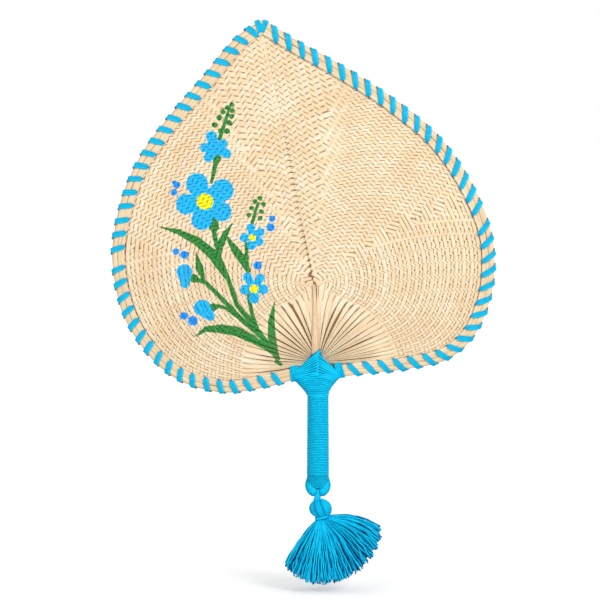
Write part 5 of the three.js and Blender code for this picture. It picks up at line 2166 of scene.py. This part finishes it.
# The brush's lines: how far to the side and up from the spray's foot each place is that it passes, and
# its half width there.
GREEN_STROKES = (
    (-43.4, 164.6, 1.62, -35.8, 187.6, 1.12), (-34.5, 190, 1.88, -34.2, 190, 1.88), (-37.6, 187.8, 1.8,
    -37.4, 187.8, 1.8), (-41, 184.6, 1.88, -40.7, 184.6, 1.88), (-43.8, 180.2, 2.1, -43.5, 180.2, 2.1),
    (-47.3, 174.9, 2.1, -47, 174.9, 2.1), (-33.8, 185.4, 1.8, -33.5, 185.4, 1.8), (-34.6, 181.3, 1.88,
    -34.4, 181.3, 1.88), (-36.2, 176.3, 2.03, -35.9, 176.3, 2.03), (-38, 170.2, 2.1, -37.7, 170.2, 2.1),
    (-42.8, 170.4, 2.03, -42.5, 170.4, 2.03), (-45.4, 149.6, 3.15, -46.5, 146, 1.8, -49.4, 132.1, 1.22),
    (-49.2, 111.1, 1.22, -47.6, 98.8, 3.9, -47.7, 93.9, 1.5), (-47.7, 93.9, 1.83, -43.9, 76.6, 1.49,
    -36.8, 58.6, 1.73), (-88.4, 98.6, 0.3, -74.1, 94.8, 2.17, -60.6, 88.1, 3.3, -49.2, 78.5, 3.9, -41.6,
    67, 3.22, -36.8, 58.6, 1.42), (-36.8, 58.6, 1.73, -30.7, 40.2, 1.84, -18.2, 24.9, 2.09, 0, 0, 2.01),
    (-33.8, 101.5, 0.3, -38.9, 93.9, 2.1, -43.7, 84.1, 3.15, -45.6, 75.1, 1.35), (-39.2, 92.9, 0.45, -32,
    81.4, 2.92, -25.3, 72.9, 3.45, -21.9, 65.2, 1.65), (-19.1, 101.5, 1.3, -14.7, 116.3, 1.12), (-13.3,
    120.1, 1.72, -13, 120.1, 1.72), (-17.2, 117.6, 1.72, -17, 117.6, 1.72), (-10.8, 115.6, 1.72, -10.5,
    115.6, 1.72), (-19.6, 112.7, 1.72, -19.4, 112.7, 1.72), (-12.3, 110.1, 1.72, -12, 110.1, 1.72),
    (-21.8, 107.5, 1.72, -21.5, 107.5, 1.72), (-13.4, 105.1, 1.72, -13.1, 105.1, 1.72), (-23.3, 86.2,
    1.37, -23.3, 67, 1.61), (-22.1, 47.9, 1.37, -19.2, 32.5, 1.49, -14.4, 19.1, 1.84), (-62.9, 59.9, 3.3,
    -62.6, 59.9, 3.3), (-55.1, 57.4, 1.22, -58.7, 68.4, 2.92, -61.3, 79.4, 0.3), (-62.2, 59.9, 1.73,
    -53.6, 56.5, 1.61, -44, 46.9, 1.73, -26.9, 28.7, 1.98, -13.4, 17.2, 1.65, 0, 0, 2.01), (-48.4, 38.3,
    3.15, -44, 39.2, 1.32, -38.3, 37.4, 1.22), (-38.3, 37.4, 1.49, -30.7, 31.6, 1.61), (-62.2, 16.3, 0.3,
    -53.6, 22, 2.17, -42.2, 22, 3.45, -30.7, 20.1, 3.68, -19.2, 14.4, 3.15, -7.6, 7.6, 2.1, 0, 1, 1.62),
    (-2.4, 42.6, 0.22, -4.8, 27.8, 2.47, -4.4, 15.3, 3.15, 0, 0, 1.35), (-1, -2.5, 1.5, 2.2, -4.7, 1.35),
)
BLUE_STROKES = (
    (-47.2, 157, 3.75, -49.4, 166.3, 4.05), (-47.2, 157, 3, -41, 160.8, 3.6), (-47.2, 157, 3, -54.5,
    157.9, 3.6), (-47.2, 157, 3, -38.2, 153.4, 3.45), (-47.2, 157, 3.75, -51.8, 150.6, 3.6), (-56.4,
    122.1, 5.7, -60.2, 130.4, 8.4), (-49.9, 120.5, 5.7, -41.4, 126, 8.48), (-50.1, 114.9, 5.7, -41.9, 110,
    7.35), (-55.3, 112.9, 5.7, -56.9, 104.2, 7.95), (-59.3, 116.9, 5.7, -68.4, 115.6, 7.8), (-69.9, 64.6,
    6, -69.5, 55.6, 3.15), (-56.5, 37.8, 6.3, -50.7, 31.6, 3.6), (-19.1, 90.5, 1.95, -20, 97.7, 3.3),
    (-19.1, 90.5, 1.95, -12.9, 94.7, 3.22), (-19.1, 90.5, 1.95, -13.8, 87.6, 3.22), (-19.1, 90.5, 1.95,
    -19.5, 84.6, 3.38), (-19.1, 90.5, 1.95, -25.1, 90.5, 3.3), (-17.7, 52.1, 2.25, -22.7, 61, 3.45),
    (-17.7, 52.1, 2.25, -13.2, 60.3, 3.3), (-17.7, 52.1, 2.25, -24.6, 51.5, 3.68), (-17.7, 52.1, 2.25,
    -10.9, 51.7, 3.75), (-17.7, 52.1, 2.25, -17.7, 44.9, 3.9),
)
DOT_STROKES = (
    (-75.7, 130.2, 2.85, -78.1, 132.1, 1.2), (-77.7, 124.6, 2.4, -77.4, 124.6, 2.4), (-4.4, 104.8, 2.4,
    -4.1, 104.8, 2.4), (-5.5, 98.3, 3, -5.2, 98.3, 3), (-15.1, 69.7, 3.15, -14.9, 69.7, 3.15), (-76.4,
    80.1, 2.4, -76.1, 80.1, 2.4), (-70.1, 77.7, 3, -69.8, 77.7, 3), (-70.5, 31.8, 2.85, -70.2, 31.8,
    2.85), (-63.8, 28, 3.6, -63.5, 28, 3.6),
)
YELLOW_STROKES = (
    (-54.6, 117.6, 6.15, -54.3, 117.6, 6.15), (-19.2, 90.5, 2.55, -18.9, 90.5, 2.55), (-17.9, 52.1, 3.3,
    -17.6, 52.1, 3.3),
)


def strokes(lines: Sequence[tuple[float, ...]]) -> tuple[Stroke, ...]:
    """Part the brush's lines into strokes.

    Args:
        lines: three numbers for each place that the brush passes.

    Returns:
        A stroke from each place to the next.
    """
    return tuple(Stroke(line[i:i + 2], line[i + 3:i + 5], line[i + 2], line[i + 5])
                 for line in lines for i in range(0, len(line) - 3, 3))


@dataclass(frozen=True)
class Lamp:
    """One soft round lamp: its place and width in millimetres, and its strength in watts."""

    name: str
    spot: tuple[float, float, float]
    size: float
    power: float


@dataclass
class Studio:
    """The camera, the lamps, the white backdrop and the floor."""

    target: tuple[float, float, float] = (-13.5, 0.0, 100.5)
    distance: float = 2500.0
    elevation: float = 4.0
    lens: float = 200.0
    sensor: float = 36.0
    far: float = 100.0
    floor: float = -119.2
    floor_half: float = 6000.0
    floor_grey: float = 0.72
    floor_roughness: float = 0.9
    world_light: float = 0.52
    glow: Pair = (0.42, 0.8)
    glow_reach: Pair = (60.0, 420.0)
    lamps: tuple[Lamp, ...] = (Lamp("key_lamp", (950.0, -1400.0, 900.0), 800.0, 20.0),
                               Lamp("fill_lamp", (-1100.0, -1200.0, 300.0), 1100.0, 5.0))

    def aim(self, thing: Piece, spot: Vector) -> None:
        """Put a camera or a lamp at a spot, in millimetres, and turn it to the blade."""
        thing.location = spot * MM
        thing.rotation_euler = (Vector(self.target) - spot).to_track_quat("-Z", "Y").to_euler()

    def camera(self) -> None:
        """Set the camera in front of the fan, a little above it."""
        data = bpy.data.cameras.new("camera")
        data.lens, data.sensor_width, data.clip_end = self.lens, self.sensor, self.far
        camera = new_object("camera", data)
        rise = math.radians(self.elevation)
        self.aim(camera, Vector(self.target) + Vector((0.0, -math.cos(rise), math.sin(rise))) * self.distance)
        bpy.context.scene.camera = camera

    def light(self, lamp: Lamp) -> None:
        """Set one lamp.

        Args:
            lamp: its name, size, power and place.
        """
        data = bpy.data.lights.new(lamp.name, "AREA")
        data.shape, data.size, data.energy = "DISK", lamp.size * MM, lamp.power
        self.aim(new_object(lamp.name, data), Vector(lamp.spot))

    def seen(self, nodes: Nodes) -> Socket:
        """Tell rays that the eye follows from the rest.

        Args:
            nodes: the material's or the world's nodes.

        Returns:
            1 for rays from the eye, in mirrors and through glass, and 0 for the rest.
        """
        path = nodes.add("ShaderNodeLightPath").outputs
        seen = nodes.math("MAXIMUM", path["Is Camera Ray"], path["Is Glossy Ray"])
        return nodes.math("MAXIMUM", seen, path["Is Transmission Ray"])

    def world(self) -> None:
        """Light the fan evenly from all sides, and show a white backdrop."""
        world = bpy.data.worlds.new("white_backdrop")
        world.use_nodes = True
        world.node_tree.nodes.clear()
        nodes = Nodes(world.node_tree)
        strength = nodes.fit(self.seen(nodes), 0.0, 1.0, self.world_light, 1.0, "LINEAR")
        sky = nodes.add("ShaderNodeBackground", {"Color": WHITE, "Strength": strength})
        nodes.add("ShaderNodeOutputWorld", {0: sky.outputs[0]})
        bpy.context.scene.world = world

    def ground(self) -> None:
        """Lay the white floor under the tassel."""
        half = self.floor_half * MM
        corners = [(-half, -half), (half, -half), (half, half), (-half, half)]
        mesh = bpy.data.meshes.new("floor")
        mesh.from_pydata([(x, y, self.floor * MM) for x, y in corners], [], [(0, 1, 2, 3)])
        surface = Surface("white_floor")
        near, far = (reach * MM for reach in self.glow_reach)
        glow = surface.fit(surface.measure("LENGTH", surface.place()), near, far, *self.glow)
        grey = self.floor_grey
        surface.give(base_color=(grey, grey, grey, 1.0), roughness=self.floor_roughness,
                     specular_ior_level=0.0, emission_color=WHITE,
                     emission_strength=surface.times(glow, self.seen(surface)))
        mesh.materials.append(surface.material)
        new_object("floor", mesh)

    def build(self) -> None:
        """Set up the whole studio."""
        bpy.context.scene.view_settings.view_transform = "Standard"
        self.camera()
        self.world()
        self.ground()
        for lamp in self.lamps:
            self.light(lamp)
        LOG.info("studio: camera, backdrop, floor and %d lamps", len(self.lamps))


def main() -> None:
    """Load the frame, set up the studio, build and dress each piece, and log its faces."""
    logging.basicConfig(level=logging.INFO, format="%(name)s: %(message)s")
    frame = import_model()
    Studio().build()

    leaf = LeafFinish()
    # The rim's leaf has stronger painted shade along its strips' edges, and none in hollows.
    rim_leaf = LeafFinish(name="rim_leaf", light=rgb(253, 241, 214), middle=rgb(246, 226, 188),
                          dark=rgb(212, 176, 128), streaks=3.4, streak_length=38.0, edge_start=0.8,
                          edge_strength=0.6, hollow_strength=0.0).build()
    # A dark brown finish for the shade sheet: painted shade that shows through the plait's holes.
    shaded = LeafFinish(name="leaf_shade", light=rgb(178, 138, 94), middle=rgb(152, 112, 72),
                        dark=rgb(112, 80, 48), hollow_strength=0.0)
    stalk = StalkFinish().build()
    ribbon = RibbonFinish().build()
    # Each thread finish's third colour is its painted shade.
    thread = ThreadFinish("wound_thread", rgb(0, 218, 255), rgb(0, 182, 232), rgb(0, 92, 150)).build()
    tassel_thread = ThreadFinish("tassel_yarn", rgb(0, 220, 255), rgb(0, 178, 232), rgb(0, 70, 150),
                                 ply_pitch=1.6, patch=14.0, gap=0.7).build()
    for name in ("leaf_stalk", "strip_bundle", "end_eye"):
        frame["nodes"][name].data.materials.clear()
        frame["nodes"][name].data.materials.append(stalk)

    outline = BladeOutline()
    rails = {turn: outline.rail(turn) for turn, _ in SIDES}
    blade = PlaitedLeaf(outline, rails)
    spray = PaintFinish(SPRAY_FOOT, *map(strokes, (GREEN_STROKES, BLUE_STROKES, DOT_STROKES, YELLOW_STROKES)))
    strips = blade.build(leaf.build(), spray.build(leaf), PAINTED_REGION)
    for piece in [*strips, blade.shade(shaded.build())]:
        place(piece, "fan", "leaf_weave", "woven_blade", "leaf_heart")

    eye = EndEye()
    for turn, label in SIDES:
        for piece, part in zip(Rim(rails[turn], label).build(rim_leaf), ("fold", "front", "back")):
            place(piece, "fan", "rim_leaf", f"rim_{part}_{label}")
        for piece, part in zip(EdgeLacing(rails[turn], label).build(ribbon), ("lower", "upper")):
            place(piece, "fan", "ribbon", f"edge_lacing_{part}_{label}")
        place(Lashing(rails[turn], label).build(thread), "fan", "thread", f"lashing_{label}")
        place(eye.side(turn, label, thread), "fan", "thread", f"eye_wrap_{label}")

    collar = Collar()
    for make in (collar.build, collar.core):
        place(make(thread), "fan", "thread", "collar_wrap")
    place(Grip().build(thread), "fan", "thread", "grip_winding")
    for make in (eye.top, eye.core):
        place(make(thread), "fan", "thread", "eye_wrap_left", "eye_wrap_right")

    tassel = Tassel()
    place(tassel.cord(thread), "cord", "thread", "tassel_cord")
    for make, node in ((tassel.head, "tassel_head"), (tassel.core, "tassel_head"), (tassel.tie, "neck_tie"),
                       (tassel.skirt, "tassel_skirt")):
        place(make(tassel_thread), "tassel", "tassel_thread", node)


if __name__ == "__main__":
    main()
